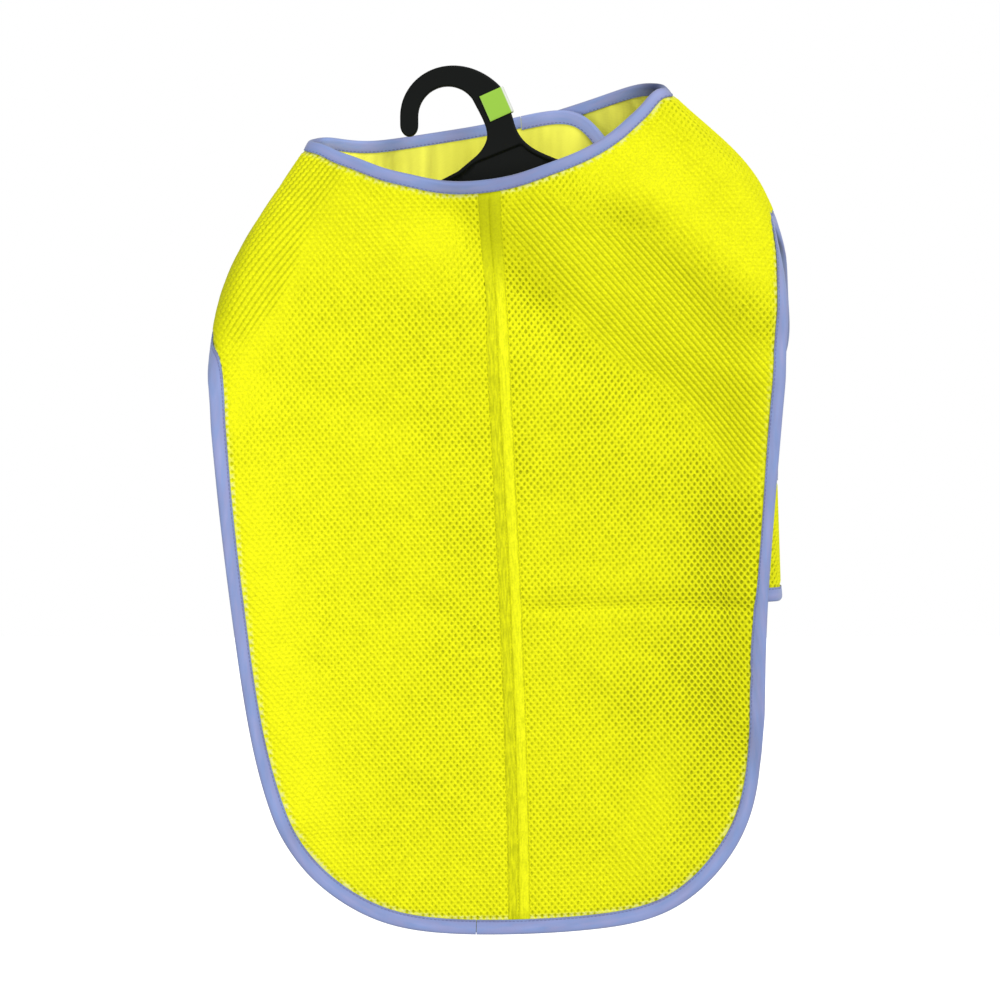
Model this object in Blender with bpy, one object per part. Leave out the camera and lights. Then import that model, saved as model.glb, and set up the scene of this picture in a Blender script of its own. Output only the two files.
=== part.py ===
"""A dog cooling vest on its moulded plastic hanger.

The vest is two mirrored-cut halves of spacer mesh, each one piece of cloth that runs from the seam down the
dog's back, over the shoulder and across the chest to an overlapping flap. Each half is lined. Folded tape binds
every edge. Two belly straps are sewn inside the side edges and close behind, as the chest flaps do, with
hook-and-loop patches. The vest hangs on a plastic hanger, askew, with its neck held open.

+X is to the viewer's right, +Z is up, and the back panel faces -Y. The origin is where a rail touches the
inside of the hook. Lengths are in millimetres here, and metres() turns them to Blender's metres.
"""

import math
from collections import namedtuple

import bmesh
import bpy
import numpy as np

# ---------------------------------------------------------------- driving dimensions (mm)

MESH_WALL = 3.0  # spacer mesh, full thickness
MESH_PRESSED = 1.25  # the same mesh, pressed flat inside the edge tape
MESH_SEAMED = 2.1  # the same mesh beside the centre seam
LINING_WALL = 1.0
LINING_PRESSED = 0.7
GAP = 0.3  # between pieces that touch
PLY_GAP = 0.15  # from the surface between mesh and lining to either of them

TAPE_WIDTH = 9.5  # of each leg of the folded edge tape
TAPE_WALL = 0.8
TAPE_OVER = 2.1  # from the ply surface to the inside of the tape's outer leg
TAPE_UNDER = 1.65  # from the ply surface to the inside of its inner leg
TAPE_SLOT = 0.9  # from the cloth's cut edge to the inside of the fold
JOIN_COLUMNS = 3  # the side tapes run on this many columns along the neck edge, where the neck tape starts
JOIN_GAP = 0.02  # ribs between the two tapes there
FLAP_END = 1.5  # ribs from a flap's end within which its tape turns the corner
PRESSED_BAND = 10.5  # cloth within this distance of an edge is pressed flat
FULL_BAND = 17.0  # and beyond this one it has its full thickness

SEAM_WALL = 0.7  # of the flat felled strip over the centre seam

STRAP_WALL = 3.0
PATCH_WALL = 0.8

HOOK_PLATE = 7.0  # thickness of the hook, front to back
ARM_PLATE = 10.0  # thickness of the arms
CLIP_WALL = 1.3
CLIP_LENGTH = 20.5

# ---------------------------------------------------------------- the cut of the vest, as it hangs

# A rib is a line across the cloth from its neck edge to its outer edge. bow is how far its middle stands to +X
# of the straight line in the plane of the panel, and belly how far it stands to +Y.
Rib = namedtuple("Rib", "place neck_x neck_y neck_z edge_x edge_y edge_z bow belly")

RIBS = [
    Rib("left flap end", 125, 27.5, -43, 128.5, 26.5, -135, 0, 0),
    Rib("left flap round", 108, 34.3, -22.5, 117, 31.5, -163, 0, 0),
    Rib("left flap corner", 82, 40.4, -15.3, 96, 36.5, -176, 0, 0),
    Rib("left flap past centre", 38, 43.2, -23.5, 42, 40.3, -187, 0, 0),
    Rib("left flap middle", 0, 41.5, -30.5, -18, 36.8, -210, 0, 0),
    Rib("left flap", -33, 36.2, -36, -72, 30, -241, 0, 0),
    Rib("left flap low", -60, 28.8, -39.8, -122, 23, -270, -3, 2),
    Rib("left armhole low", -80, 20.8, -39.5, -159, 17, -276, -6, 3),
    Rib("left armhole", -92, 13.2, -38.6, -175.5, 13.5, -245, -8.5, 3),
    Rib("left shoulder back", -100.8, 7, -40, -179.5, 9.5, -212, -11, 2),
    Rib("left shoulder top", -104.2, 0, -42.5, -179, 0, -194, -11, 0),
    Rib("left shoulder front", -98.6, -6, -44.5, -181, -15, -211, -10, -3),
    Rib("left under arm", -90.5, -11.5, -47.5, -179.3, -25, -245, -6, -3),
    Rib("left upper side", -82, -17.5, -51.7, -173.3, -26.5, -322, -3, -1),
    Rib("left strap", -70.5, -23, -56, -163.8, -26, -413, -1, 0),
    Rib("left side", -58, -28, -61, -151, -24, -505, 0, 2),
    Rib("left low side", -44, -32.3, -66, -130.6, -22, -576, 0, 4),
    Rib("left hem corner", -27, -36, -70, -100.5, -21, -618.5, 1, 6),
    Rib("left hem turn", -8, -38.5, -73.8, -54, -21, -646.8, 2, 7),
    Rib("left hem", 12, -39, -75, 0, -22.5, -656, 3, 7),
    Rib("centre seam", 31.4, -39, -73.7, 54.6, -23, -656.3, 3, 7),
    Rib("right hem", 52, -37.5, -69.8, 109.5, -21.5, -653.3, 3, 7),
    Rib("right hem turn", 75, -33.5, -62, 169.5, -19.5, -640, 3, 6),
    Rib("right hem corner", 94, -28.5, -54.5, 215.5, -20, -600, 3, 5),
    Rib("right low side", 110, -24, -46.5, 239.6, -21, -537, 3, 3),
    Rib("right side", 125, -19.5, -36.5, 242.2, -25, -440, 3, 0),
    Rib("right strap", 137, -15.5, -26, 245, -27, -350, 3, -2),
    Rib("right upper side", 147, -11.8, -16.5, 250.3, -27.5, -268, 4, -5),
    Rib("right under arm", 154.5, -9, -8, 255, -25, -195, 6.5, -8),
    Rib("right shoulder front", 160.5, -6, -4, 253, -17, -143, 9.5, -8),
    Rib("right shoulder top", 164, 0, -3.5, 248, 0, -107, 11, 0),
    Rib("right shoulder back", 162.5, 8, 0.5, 257.5, 9.5, -124, 10.5, 5),
    Rib("right armhole", 154, 16, 2.6, 262.5, 14.5, -163, 8, 6),
    Rib("right armhole low", 141, 28.5, 2, 258, 19, -213, 3, 5),
    Rib("right flap low", 118, 40, -4.5, 208, 30, -238, 0, 3),
    Rib("right flap", 90, 46.8, -13, 140, 40.5, -210, 0, 1),
    Rib("right flap middle", 55, 50.3, -23, 75, 48, -190, 0, 0),
    Rib("right flap past centre", 15, 50, -33, 15, 48.5, -182, 0, 0),
    Rib("right flap corner", -28, 46.8, -44.5, -34, 45.6, -178, 0, 0),
    Rib("right flap round", -50, 44, -58, -53, 43.2, -164, 0, 0),
    Rib("right flap end", -60, 42.6, -80, -62, 42, -135, 0, 0),
]
SEAM_RIB = 20
SHOULDER_RIBS = 10  # ribs from the seam to the top of a shoulder
BOW_LOW = 0.7  # how much further than its middle a rib bows near its outer edge, and less near the neck
NEAR_FULL = 8.5  # ribs from the seam out to which the folds below stand at their full height

# The largest folds of the back panel: a soft ridge or trough along a line, height towards +Y, so that a
# negative one stands out towards the viewer.
Fold = namedtuple("Fold", "place x0 z0 x1 z1 half_width height")

FOLDS = [
    Fold("ridge over the right arm, inner", 84, -78, 150, -84, 24, -5),
    Fold("ridge over the right arm, outer", 150, -82, 238, -168, 24, -9),
    Fold("hollow under the neck", 4, -96, 64, -168, 25, 12.5),
    Fold("hollow across the right half", 64, -168, 190, -250, 31, 6),
    Fold("curled right edge", 240, -225, 238, -480, 27, -10.5),
    Fold("curled left edge", -168, -265, -126, -560, 27, -7),
    Fold("slack under the left shoulder", -96, -118, -140, -200, 26, 3),
]

# ---------------------------------------------------------------- belly straps

# A section across a strap: its line is at x_top, y at the top edge z_top and x_bottom, y at the lower edge.
Section = namedtuple("Section", "place x_top x_bottom y z_top z_bottom")

STRAPS = {
    "right": [
        Section("sewn inside", 226, 222, -23.0, -289, -392),
        Section("under the tape", 241, 238, -25.5, -289, -392),
        Section("turning out", 248, 251, -21.5, -290, -392),
        Section("turning back", 251.8, 256.5, -11, -291, -393),
        Section("fold", 252.8, 257.8, 0, -292, -393),
        Section("turned", 249, 253.8, 8.5, -293, -394),
        Section("behind", 240, 245, 12, -294, -395),
        Section("right of centre", 180, 182, 15, -295, -397),
        Section("middle", 100, 101, 17.6, -295, -398),
        Section("past centre", 40, 40, 18, -294, -398),
        Section("end", -12, -12, 17.2, -292, -397),
    ],
    "left": [
        Section("sewn inside", -148, -140, -24.0, -296, -399),
        Section("under the tape", -160, -150, -24.0, -296, -399),
        Section("turning out", -166.5, -156.5, -17, -297, -400),
        Section("turning back", -169, -159, -6, -297, -400),
        Section("fold", -166, -156.5, 2.5, -298, -400),
        Section("behind", -156, -147, 6.5, -298, -401),
        Section("left of centre", -110, -106, 8.5, -299, -402),
        Section("middle", -40, -40, 10.2, -298, -402),
        Section("past centre", 30, 30, 10.6, -296, -401),
        Section("end", 92, 92, 10, -294, -399),
    ],
}

# ---------------------------------------------------------------- hanger outline

HOOK_CENTRE = (0.0, -22.8)
HOOK_INSIDE = 22.8  # radius: a rail of up to about 40 mm fits
HOOK_TIP_ANGLE = 180.0  # where the arc runs out into the straight tip, degrees anticlockwise from +X
HOOK_TIP_DROP = 6.5  # length of the straight tip below the arc
HOOK_TIP_ROUND = 8.5  # height of the tip's round end
HOOK_LEAVES_ANGLE = 36.0  # where the arc runs out into the straight shank
HOOK_WIDTH_TIP = 13.8
HOOK_WIDTH_SHANK = 23.0
HOOK_TILT = 24.0  # the shank's lean from upright, degrees

SHANK_LEFT = (28.2, -27.5)
SHANK_RIGHT = (48.6, -20.4)
NECK_LEFT = [(30.2, -37.5), (28.2, -43.8), (23.8, -50.4), (17.0, -56.2), (7.4, -64.1)]
NECK_RIGHT = [(51.8, -32.5), (57.6, -41.2), (67.0, -48.2), (82.0, -54.4)]
LEFT_ARM_TIP = (-165.5, -170.0)
RIGHT_ARM_TIP = (237.0, -111.5)
ARM_TIP_RADIUS = 6.0
ARM_UNDERSIDE = (40.0, -86.0)  # where the two arms meet below the neck
ARM_SAG = 3.0  # how far the arms bend upwards of straight
ARM_PLATE_BELOW = -66.0  # the plate has its full thickness below this height
PLATE_BLEND = 30.0  # and thins to the hook's over this much above it

CLIP_MIDDLE = (44.4, -10.2)  # on the shank's outer edge
CLIP_REACH = 17.8  # of its two legs across the shank
CLIP_CLEAR = 0.5  # from the shank's edge to the inside of its fold
CLIP_BEVEL = 0.6  # share of its wall cut off the fold's corners

# ---------------------------------------------------------------- colours: base colour, roughness

MATERIALS = {
    "mesh": ((0.87, 0.90, 0.02, 1.0), 0.75),
    "lining": ((0.88, 0.86, 0.16, 1.0), 0.6),
    "tape": ((0.27, 0.33, 0.66, 1.0), 0.55),
    "seam": ((0.88, 0.91, 0.03, 1.0), 0.7),
    "hook_and_loop": ((0.72, 0.75, 0.04, 1.0), 0.9),
    "hanger": ((0.012, 0.013, 0.012, 1.0), 0.4),
    "clip": ((0.35, 0.66, 0.09, 1.0), 0.35),
}


def material(name):
    """The named finish, made once as a Principled BSDF."""
    made = bpy.data.materials.get(name)
    if made is None:
        colour, roughness = MATERIALS[name]
        made = bpy.data.materials.new(name)
        made.use_nodes = True
        shader = made.node_tree.nodes["Principled BSDF"]
        shader.inputs["Base Color"].default_value = colour
        shader.inputs["Roughness"].default_value = roughness
        shader.inputs["Metallic"].default_value = 0.0
        made.diffuse_color = colour
    return made


def metres(points):
    return np.asarray(points, float) * 0.001


def unit(vectors):
    return vectors / np.linalg.norm(vectors, axis=-1, keepdims=True)


def add_object(name, points, faces, finish):
    """An object from points in mm and faces of any size, with coincident points merged and faces out."""
    mesh = bpy.data.meshes.new(name)
    mesh.from_pydata([tuple(p) for p in metres(points)], [], [tuple(f) for f in faces])
    work = bmesh.new()
    work.from_mesh(mesh)
    bmesh.ops.remove_doubles(work, verts=work.verts, dist=1e-6)
    bmesh.ops.triangulate(work, faces=[f for f in work.faces if len(f.verts) == 4])
    bmesh.ops.recalc_face_normals(work, faces=work.faces)
    if work.calc_volume(signed=True) < 0:
        bmesh.ops.reverse_faces(work, faces=work.faces)
    work.to_mesh(mesh)
    work.free()
    mesh.materials.append(material(finish))
    mesh.shade_smooth()
    mesh.set_sharp_from_angle(angle=math.radians(50))
    made = bpy.data.objects.new(name, mesh)
    bpy.context.scene.collection.objects.link(made)
    return made


# ---------------------------------------------------------------- the surface between mesh and lining


def spline(rows, at):
    """Natural cubic spline through rows, which stand at 0, 1, 2 and so on, read at the positions in at."""
    rows = np.asarray(rows, float)
    count = len(rows)
    system = np.eye(count)
    bends = np.zeros_like(rows)
    for k in range(1, count - 1):
        system[k, k - 1 : k + 2] = 1, 4, 1
        bends[k] = 6 * (rows[k - 1] - 2 * rows[k] + rows[k + 1])
    curvature = np.linalg.solve(system, bends)
    at = np.asarray(at, float)
    k = np.clip(np.floor(at).astype(int), 0, count - 2)
    f = (at - k)[..., None]
    straight = (1 - f) * rows[k] + f * rows[k + 1]
    bend = ((1 - f) ** 3 - (1 - f)) * curvature[k] + (f**3 - f) * curvature[k + 1]
    return straight + bend / 6


def smoothstep(value):
    value = np.clip(value, 0, 1)
    return value * value * (3 - 2 * value)


def fold_depth(x, z):
    """Sum of the folds: each is height * exp(-(d / half_width)^2), d being the distance to the fold's line."""
    depth = np.zeros_like(x)
    for fold in FOLDS:
        run = np.array([fold.x1 - fold.x0, fold.z1 - fold.z0], float)
        along = ((x - fold.x0) * run[0] + (z - fold.z0) * run[1]) / (run @ run)
        along = np.clip(along, 0, 1)
        off = np.hypot(x - fold.x0 - along * run[0], z - fold.z0 - along * run[1])
        depth += fold.height * np.exp(-((off / fold.half_width) ** 2))
    return depth


def cloth(u, t):
    """Points of the vest's surface. u counts ribs from the seam, negative to the left; t runs neck to edge.

    Each rib is the straight line from its neck point to its edge point plus 4 t (1 - t) times its bow and belly,
    and the folds move the back panel's points along Y, fading out at the shoulders.
    """
    rows = spline([rib[1:] for rib in RIBS], u + SEAM_RIB)
    neck, edge, bow, belly = rows[..., 0:3], rows[..., 3:6], rows[..., 6], rows[..., 7]
    t = np.asarray(t, float)
    point = neck + (edge - neck) * t[..., None]
    across = edge - neck
    flat = np.hypot(across[..., 0], across[..., 2])
    arch = 4 * t * (1 - t)
    bowed = arch * bow * (1 + BOW_LOW * (2 * t - 1)) / flat
    point[..., 0] -= bowed * across[..., 2]
    point[..., 2] += bowed * across[..., 0]
    point[..., 1] += arch * belly
    near = smoothstep((SHOULDER_RIBS - np.abs(u)) / (SHOULDER_RIBS - NEAR_FULL))
    point[..., 1] += near * fold_depth(point[..., 0], point[..., 2])
    return point


def normals(u, t):
    """Outward unit normals of the surface, by central differences."""
    step = 1e-3
    down = cloth(u, np.minimum(t + step, 1)) - cloth(u, np.maximum(t - step, 0))
    low, high = -float(SEAM_RIB), float(len(RIBS) - 1 - SEAM_RIB)
    along = cloth(np.minimum(u + step, high), t) - cloth(np.maximum(u - step, low), t)
    return unit(np.cross(down, along))


# ---------------------------------------------------------------- the grid that all pieces of a half share

# Its columns stand at these ribs, closer where the hem turns and where the shoulder folds over.
STATIONS = [1, 1.5, 2, 2.5, 3, 3.5, 4, 5, 6, 7, 8, 8.6, 9.2, 9.6, 10, 10.4, 10.9]
STATIONS += [11.6, 12.6, 13.8, 15, 16.2, 17.4, 18.7, 19.3, 20]
NEAR_SEAM = [0.2, 8.0, 13.0]  # and three columns at these distances (mm) from the seam's line
INNER_ROWS = 5


def edge_step(u, t):
    """How much t changes in one millimetre square to the neck edge (t = 0) or to the outer edge (t = 1)."""
    step = 1e-2
    inward = cloth(u, np.abs(t - step)) - cloth(u, t)
    along = unit(cloth(u + step, t) - cloth(u - step, t))
    return step / np.linalg.norm(np.cross(inward, along), axis=-1)


def seam_step(t):
    """How much u changes in one millimetre square to the centre seam."""
    step, zero = 1e-2, np.zeros_like(t)
    across = cloth(zero + step, t) - cloth(zero - step, t)
    along = unit(cloth(zero, np.minimum(t + step, 1)) - cloth(zero, np.maximum(t - step, 0)))
    return 2 * step / np.linalg.norm(np.cross(across, along), axis=-1)


def grid(side):
    """u and t of one half's grid. Rows 1 and 2 stand at the pressed and the full band from each long edge."""
    u = np.array([0.0] * len(NEAR_SEAM) + STATIONS) * side
    at_neck, at_edge = edge_step(u, np.zeros_like(u))[:, None], edge_step(u, np.ones_like(u))[:, None]
    inner = np.linspace(0, 1, INNER_ROWS + 2)[None, 1:-1]
    # At a flap's round end the ribs run so nearly along the edges that the bands are held to these shares.
    at_pressed, at_full = 0.2, 0.3
    second, third = np.minimum(PRESSED_BAND * at_neck, at_pressed), np.minimum(FULL_BAND * at_neck, at_full)
    last = 1 - np.minimum(FULL_BAND * at_edge, at_full)
    before_edge = 1 - np.minimum(PRESSED_BAND * at_edge, at_pressed)
    zero = np.zeros_like(third)
    rows = [zero, second, third, third + (last - third) * inner, last, before_edge, zero + 1]
    t = np.concatenate(rows, axis=1)
    u = np.repeat(u[:, None], t.shape[1], axis=1)
    for column, distance in enumerate(NEAR_SEAM):
        u[column] = side * distance * seam_step(t[column])
    return u, t


def thickness(shape, pressed, full, seamed):
    """Wall thickness over the grid: pressed at the three bound edges, seamed by the centre seam, else full."""
    wall = np.full(shape, full)
    wall[:2, :] = seamed
    wall[:, [0, 1, -2, -1]] = pressed
    wall[-3:, :] = pressed
    return wall


def wall_solid(name, lower, upper, finish):
    """A closed wall between two grids of points that match one to one."""
    columns, rows = upper.shape[:2]
    count = columns * rows
    at = np.arange(count).reshape(columns, rows)

    def quads(a, b, c, d):
        return np.stack([a, b, c, d], axis=-1).reshape(-1, 4)

    top = quads(at[:-1, :-1], at[1:, :-1], at[1:, 1:], at[:-1, 1:])
    bottom = top[:, ::-1] + count
    rim = np.concatenate([at[:, 0], at[-1, 1:], at[-2::-1, -1], at[0, -2:0:-1]])
    after = np.roll(rim, -1)
    sides = quads(rim, after, after + count, rim + count)
    points = np.concatenate([upper.reshape(-1, 3), lower.reshape(-1, 3)])
    return add_object(name, points, np.concatenate([top, bottom, sides]), finish)


def half(side_name, side):
    """The outer mesh and the lining of one half, either side of the same surface."""
    u, t = grid(side)
    surface, normal = cloth(u, t), normals(u, t)
    mesh_wall = thickness(u.shape, MESH_PRESSED, MESH_WALL, MESH_SEAMED)[..., None]
    lining_wall = thickness(u.shape, LINING_PRESSED, LINING_WALL, LINING_WALL)[..., None]
    lower, upper = surface + normal * PLY_GAP, surface + normal * (PLY_GAP + mesh_wall)
    wall_solid("half_" + side_name, lower, upper, "mesh")
    upper, lower = surface - normal * PLY_GAP, surface - normal * (PLY_GAP + lining_wall)
    wall_solid("lining_" + side_name, lower, upper, "lining")


def centre_seam():
    """The flat felled strip over the seam: the panel's own points, moved out past the mesh."""
    rows = slice(2, -2)
    left_u, right_u = grid(-1)[0][1, rows], grid(1)[0][1, rows]
    t = grid(1)[1][1, rows]
    u = np.stack([left_u, 0 * right_u, right_u])
    t = np.stack([t, t, t])
    surface, normal = cloth(u, t), normals(u, t)
    under = PLY_GAP + MESH_SEAMED + GAP
    wall_solid("centre_seam", surface + normal * under, surface + normal * (under + SEAM_WALL), "seam")


# ---------------------------------------------------------------- edge tape


def folded_tape(name, edge, inner, over, under):
    """A strip of tape folded over a cut edge: one closed section, carried along the edge, with a cap at each end.

    edge and inner are (points, normals) of the cloth along its cut edge and at the tape's width inside it. over
    and under are the distances from there to the inside of the tape's outer and inner leg.
    """
    (cut, cut_normal), (inside, inside_normal) = edge, inner
    along = unit(np.gradient(cut, axis=0))
    outwards = cut - inside
    outwards = unit(outwards - along * np.sum(outwards * along, axis=-1, keepdims=True))
    slot, back = cut + outwards * TAPE_SLOT, cut + outwards * (TAPE_SLOT + TAPE_WALL)
    rings = [
        inside + inside_normal * (over + TAPE_WALL),
        slot + cut_normal * (over + TAPE_WALL),
        back + cut_normal * (over - under) / 2,
        slot - cut_normal * (under + TAPE_WALL),
        inside - inside_normal * (under + TAPE_WALL),
        inside - inside_normal * under,
        slot - cut_normal * under,
        slot + cut_normal * over,
        inside + inside_normal * over,
    ]
    rings = np.stack(rings, axis=1)
    count, sides = rings.shape[:2]
    at = np.arange(count * sides).reshape(count, sides)
    after = np.roll(at, -1, axis=1)
    skin = np.stack([at[:-1], at[1:], after[1:], after[:-1]], axis=-1).reshape(-1, 4)
    faces = [tuple(q) for q in skin] + cap(at[0], False) + cap(at[-1], True)
    return add_object(name, rings.reshape(-1, 3), faces, "tape")


def cap(ring, turned):
    """Faces that close the folded section: its two legs and the fold between them."""
    a, b, c, d, e, f, g, h, i = (int(v) for v in ring)
    faces = [(a, b, h, i), (b, c, h), (c, g, h), (c, d, g), (d, e, f, g)]
    return [face[::-1] for face in faces] if turned else faces


def vest_tape(name, u, t):
    """Tape along the vest's edge through these points of the grid's rim."""
    end = np.abs(u) > len(RIBS) - 1 - SEAM_RIB - 0.01
    side, step = np.where(u < 0, -1.0, 1.0), 1e-2
    last = side * (len(RIBS) - 1 - SEAM_RIB)
    across = cloth(last, t) - cloth(last - side * step, t)
    along = unit(cloth(last, np.minimum(t + step, 1)) - cloth(last, np.maximum(t - step, 0)))
    reach = TAPE_WIDTH * step / np.linalg.norm(np.cross(across, along), axis=-1)
    near_end = np.abs(last - u) < FLAP_END
    inner_u = np.where(near_end, side * np.minimum(np.abs(u), np.abs(last) - reach), u)
    low = TAPE_WIDTH * edge_step(inner_u, np.zeros_like(t))
    high = 1 - TAPE_WIDTH * edge_step(inner_u, np.ones_like(t))
    inner_t = np.clip(t, low, high)
    edge = cloth(u, t), normals(u, t)
    inner = cloth(inner_u, inner_t), normals(inner_u, inner_t)
    return folded_tape(name, edge, inner, TAPE_OVER, TAPE_UNDER)


def tapes():
    """Neck tape, and one tape from the hem join round each half and its flap end to a join on the neck edge."""
    neck = {}
    for side_name, side in (("left", -1), ("right", 1)):
        u, t = grid(side)
        join = -1 - JOIN_COLUMNS
        rim_u = np.concatenate([u[:, -1], u[-1, -2::-1], u[-2:join:-1, 0], [u[join, 0] + side * JOIN_GAP]])
        rim_t = np.concatenate([t[:, -1], t[-1, -2::-1], t[-2:join:-1, 0], [0.0]])
        vest_tape("binding_" + side_name, rim_u, rim_t)
        neck[side] = u[: join + 1, 0]
    u = np.concatenate([neck[-1][::-1], [0.0], neck[1]])
    vest_tape("binding_neck", u, np.zeros_like(u))


# ---------------------------------------------------------------- straps, patches


def strap_surface(side_name, positions, across):
    """Points and normals on a strap's middle surface. positions count its sections, across runs top to bottom."""
    rows = spline([section[1:] for section in STRAPS[side_name]], positions)
    x_top, x_bottom, y, z_top, z_bottom = (rows[..., k] for k in range(5))
    v = np.asarray(across, float)
    return np.stack([x_top + (x_bottom - x_top) * v, y, z_top + (z_bottom - z_top) * v], axis=-1)


def strap_normals(side_name, positions, across):
    step = 1e-3
    last = len(STRAPS[side_name]) - 1
    ahead = strap_surface(side_name, np.minimum(positions + step, last), across)
    behind = strap_surface(side_name, np.maximum(positions - step, 0), across)
    down = strap_surface(side_name, positions, np.minimum(across + step, 1))
    down = down - strap_surface(side_name, positions, np.maximum(across - step, 0))
    turn = 1.0 if side_name == "right" else -1.0
    return unit(np.cross(down, ahead - behind)) * turn


STRAP_ROWS = [0.0, 0.1, 0.17, 0.5, 0.83, 0.9, 1.0]
STRAP_CURVED = (1.0, 5.0)  # sections between which a strap turns
STRAP_PRESSED = 1.5  # the strap's mesh, inside its tape
STRAP_TAPE = 0.083  # width of a leg of its tape, as a share of the strap's width
STRAP_END_TAPE = 0.173  # and at the free end, in sections
STRAP_SLOT = 1.2  # from the strap's middle surface to the inside of its tape


def strap_positions(side_name):
    """Where a strap's columns stand, closer together round its fold."""
    last = len(STRAPS[side_name]) - 1
    curved, straight = np.arange(*STRAP_CURVED, 0.5), np.arange(STRAP_CURVED[1], last)
    return np.concatenate([[0.0], curved, straight, [last - 0.22, last]])


def on_strap(side_name, positions, across):
    return strap_surface(side_name, positions, across), strap_normals(side_name, positions, across)


def strap(side_name):
    """One belly strap of mesh, with its tape along the top, round the free end and back along the bottom."""
    positions = strap_positions(side_name)
    last = positions[-1]
    grid_u, grid_v = np.meshgrid(positions, np.array(STRAP_ROWS), indexing="ij")
    surface, normal = on_strap(side_name, grid_u, grid_v)
    wall = np.full(grid_u.shape, STRAP_WALL)
    wall[:, [0, 1, -2, -1]] = STRAP_PRESSED
    wall[-2:, :] = STRAP_PRESSED
    shift = normal * wall[..., None] / 2
    wall_solid("belly_strap_" + side_name, surface - shift, surface + shift, "mesh")
    end_v = STRAP_ROWS[1:-1]
    u = np.concatenate([positions, [last] * len(end_v), positions[::-1]])
    v = np.concatenate([0 * positions, end_v, 0 * positions + 1])
    inner = np.minimum(u, last - STRAP_END_TAPE), np.clip(v, STRAP_TAPE, 1 - STRAP_TAPE)
    edge = on_strap(side_name, u, v)
    folded_tape("belly_binding_" + side_name, edge, on_strap(side_name, *inner), STRAP_SLOT, STRAP_SLOT)


def patch(name, surface, normal, start):
    """A hook or loop patch: the panel's points moved out from start by the patch's own thickness."""
    sign = 1.0 if start > 0 else -1.0
    lower, upper = surface + normal * start, surface + normal * (start + sign * PATCH_WALL)
    wall_solid(name, lower, upper, "hook_and_loop")


CHEST_PATCH_RIBS = (14.5, 18)  # columns of the grid between these ribs
CHEST_PATCH_ROWS = slice(3, 3 + INNER_ROWS)
BELLY_PATCH_ROWS = [0.17, 0.5, 0.83]
BELLY_LOOP, BELLY_HOOK = (6.9, 8.6), (7.9, 9.6)  # sections of the straps between which the patches lie


def patches():
    """Loop side on the inner flap's outer face and hook side on the outer flap's lining, at chest and belly."""
    for name, side, start in (
        ("chest_loop", -1, PLY_GAP + MESH_WALL + GAP),
        ("chest_hook", 1, -(PLY_GAP + LINING_WALL + GAP)),
    ):
        u, t = grid(side)
        chosen = (np.abs(u[:, 0]) > CHEST_PATCH_RIBS[0]) & (np.abs(u[:, 0]) < CHEST_PATCH_RIBS[1])
        u, t = u[chosen, CHEST_PATCH_ROWS], t[chosen, CHEST_PATCH_ROWS]
        patch(name, cloth(u, t), normals(u, t), start)
    for name, side_name, (first, final), sign in (
        ("belly_loop", "left", BELLY_LOOP, 1.0),
        ("belly_hook", "right", BELLY_HOOK, -1.0),
    ):
        positions = strap_positions(side_name)
        positions = positions[(positions > first) & (positions < final)]
        u, v = np.meshgrid(positions, BELLY_PATCH_ROWS, indexing="ij")
        patch(name, *on_strap(side_name, u, v), sign * (STRAP_WALL / 2 + GAP))


# ---------------------------------------------------------------- hanger


def arc(centre, radius, start, stop, count):
    """Points on an arc, angles in degrees anticlockwise from +X. radius may be one value or one for each point."""
    angle = np.radians(np.linspace(start, stop, count))
    return [
        (centre[0] + r * math.cos(a), centre[1] + r * math.sin(a))
        for a, r in zip(angle, np.broadcast_to(radius, count))
    ]


def bent_line(start, stop, sag, count):
    """Points from start to stop that stand sag above the straight line at its middle."""
    share = np.linspace(0, 1, count)[1:-1]
    return [
        (start[0] + (stop[0] - start[0]) * s, start[1] + (stop[1] - start[1]) * s + 4 * sag * s * (1 - s))
        for s in share
    ]


def hanger_outline():
    """One closed outline, clockwise from the hook's tip over the hook, down the right side and back by the left."""
    sweep = np.linspace(0, 1, 13)
    widths = HOOK_WIDTH_TIP + (HOOK_WIDTH_SHANK - HOOK_WIDTH_TIP) * sweep**3.5
    outer = arc(HOOK_CENTRE, HOOK_INSIDE + widths, HOOK_TIP_ANGLE, HOOK_LEAVES_ANGLE - 6, 13)
    inner = arc(HOOK_CENTRE, HOOK_INSIDE, HOOK_LEAVES_ANGLE, HOOK_TIP_ANGLE, 11)
    # The hook ends in a short straight drop with a round end, as wide as the hook.
    end_x, end_z = HOOK_CENTRE[0] - HOOK_INSIDE - HOOK_WIDTH_TIP / 2, HOOK_CENTRE[1] - HOOK_TIP_DROP
    tip = [
        (end_x + HOOK_WIDTH_TIP / 2 * math.cos(a), end_z - HOOK_TIP_ROUND * math.sin(a))
        for a in np.linspace(0, math.pi, 6)
    ]
    right_tip = arc(RIGHT_ARM_TIP, ARM_TIP_RADIUS, 70, -110, 7)
    left_tip = arc(LEFT_ARM_TIP, ARM_TIP_RADIUS, -60, -240, 7)
    outline = outer + [SHANK_RIGHT] + NECK_RIGHT
    outline += bent_line(NECK_RIGHT[-1], right_tip[0], ARM_SAG, 7) + right_tip
    outline += bent_line(right_tip[-1], ARM_UNDERSIDE, ARM_SAG, 7) + [ARM_UNDERSIDE]
    outline += bent_line(ARM_UNDERSIDE, left_tip[0], ARM_SAG, 7) + left_tip
    outline += bent_line(left_tip[-1], NECK_LEFT[-1], ARM_SAG, 7) + NECK_LEFT[::-1]
    return outline + [SHANK_LEFT] + inner + tip


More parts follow.
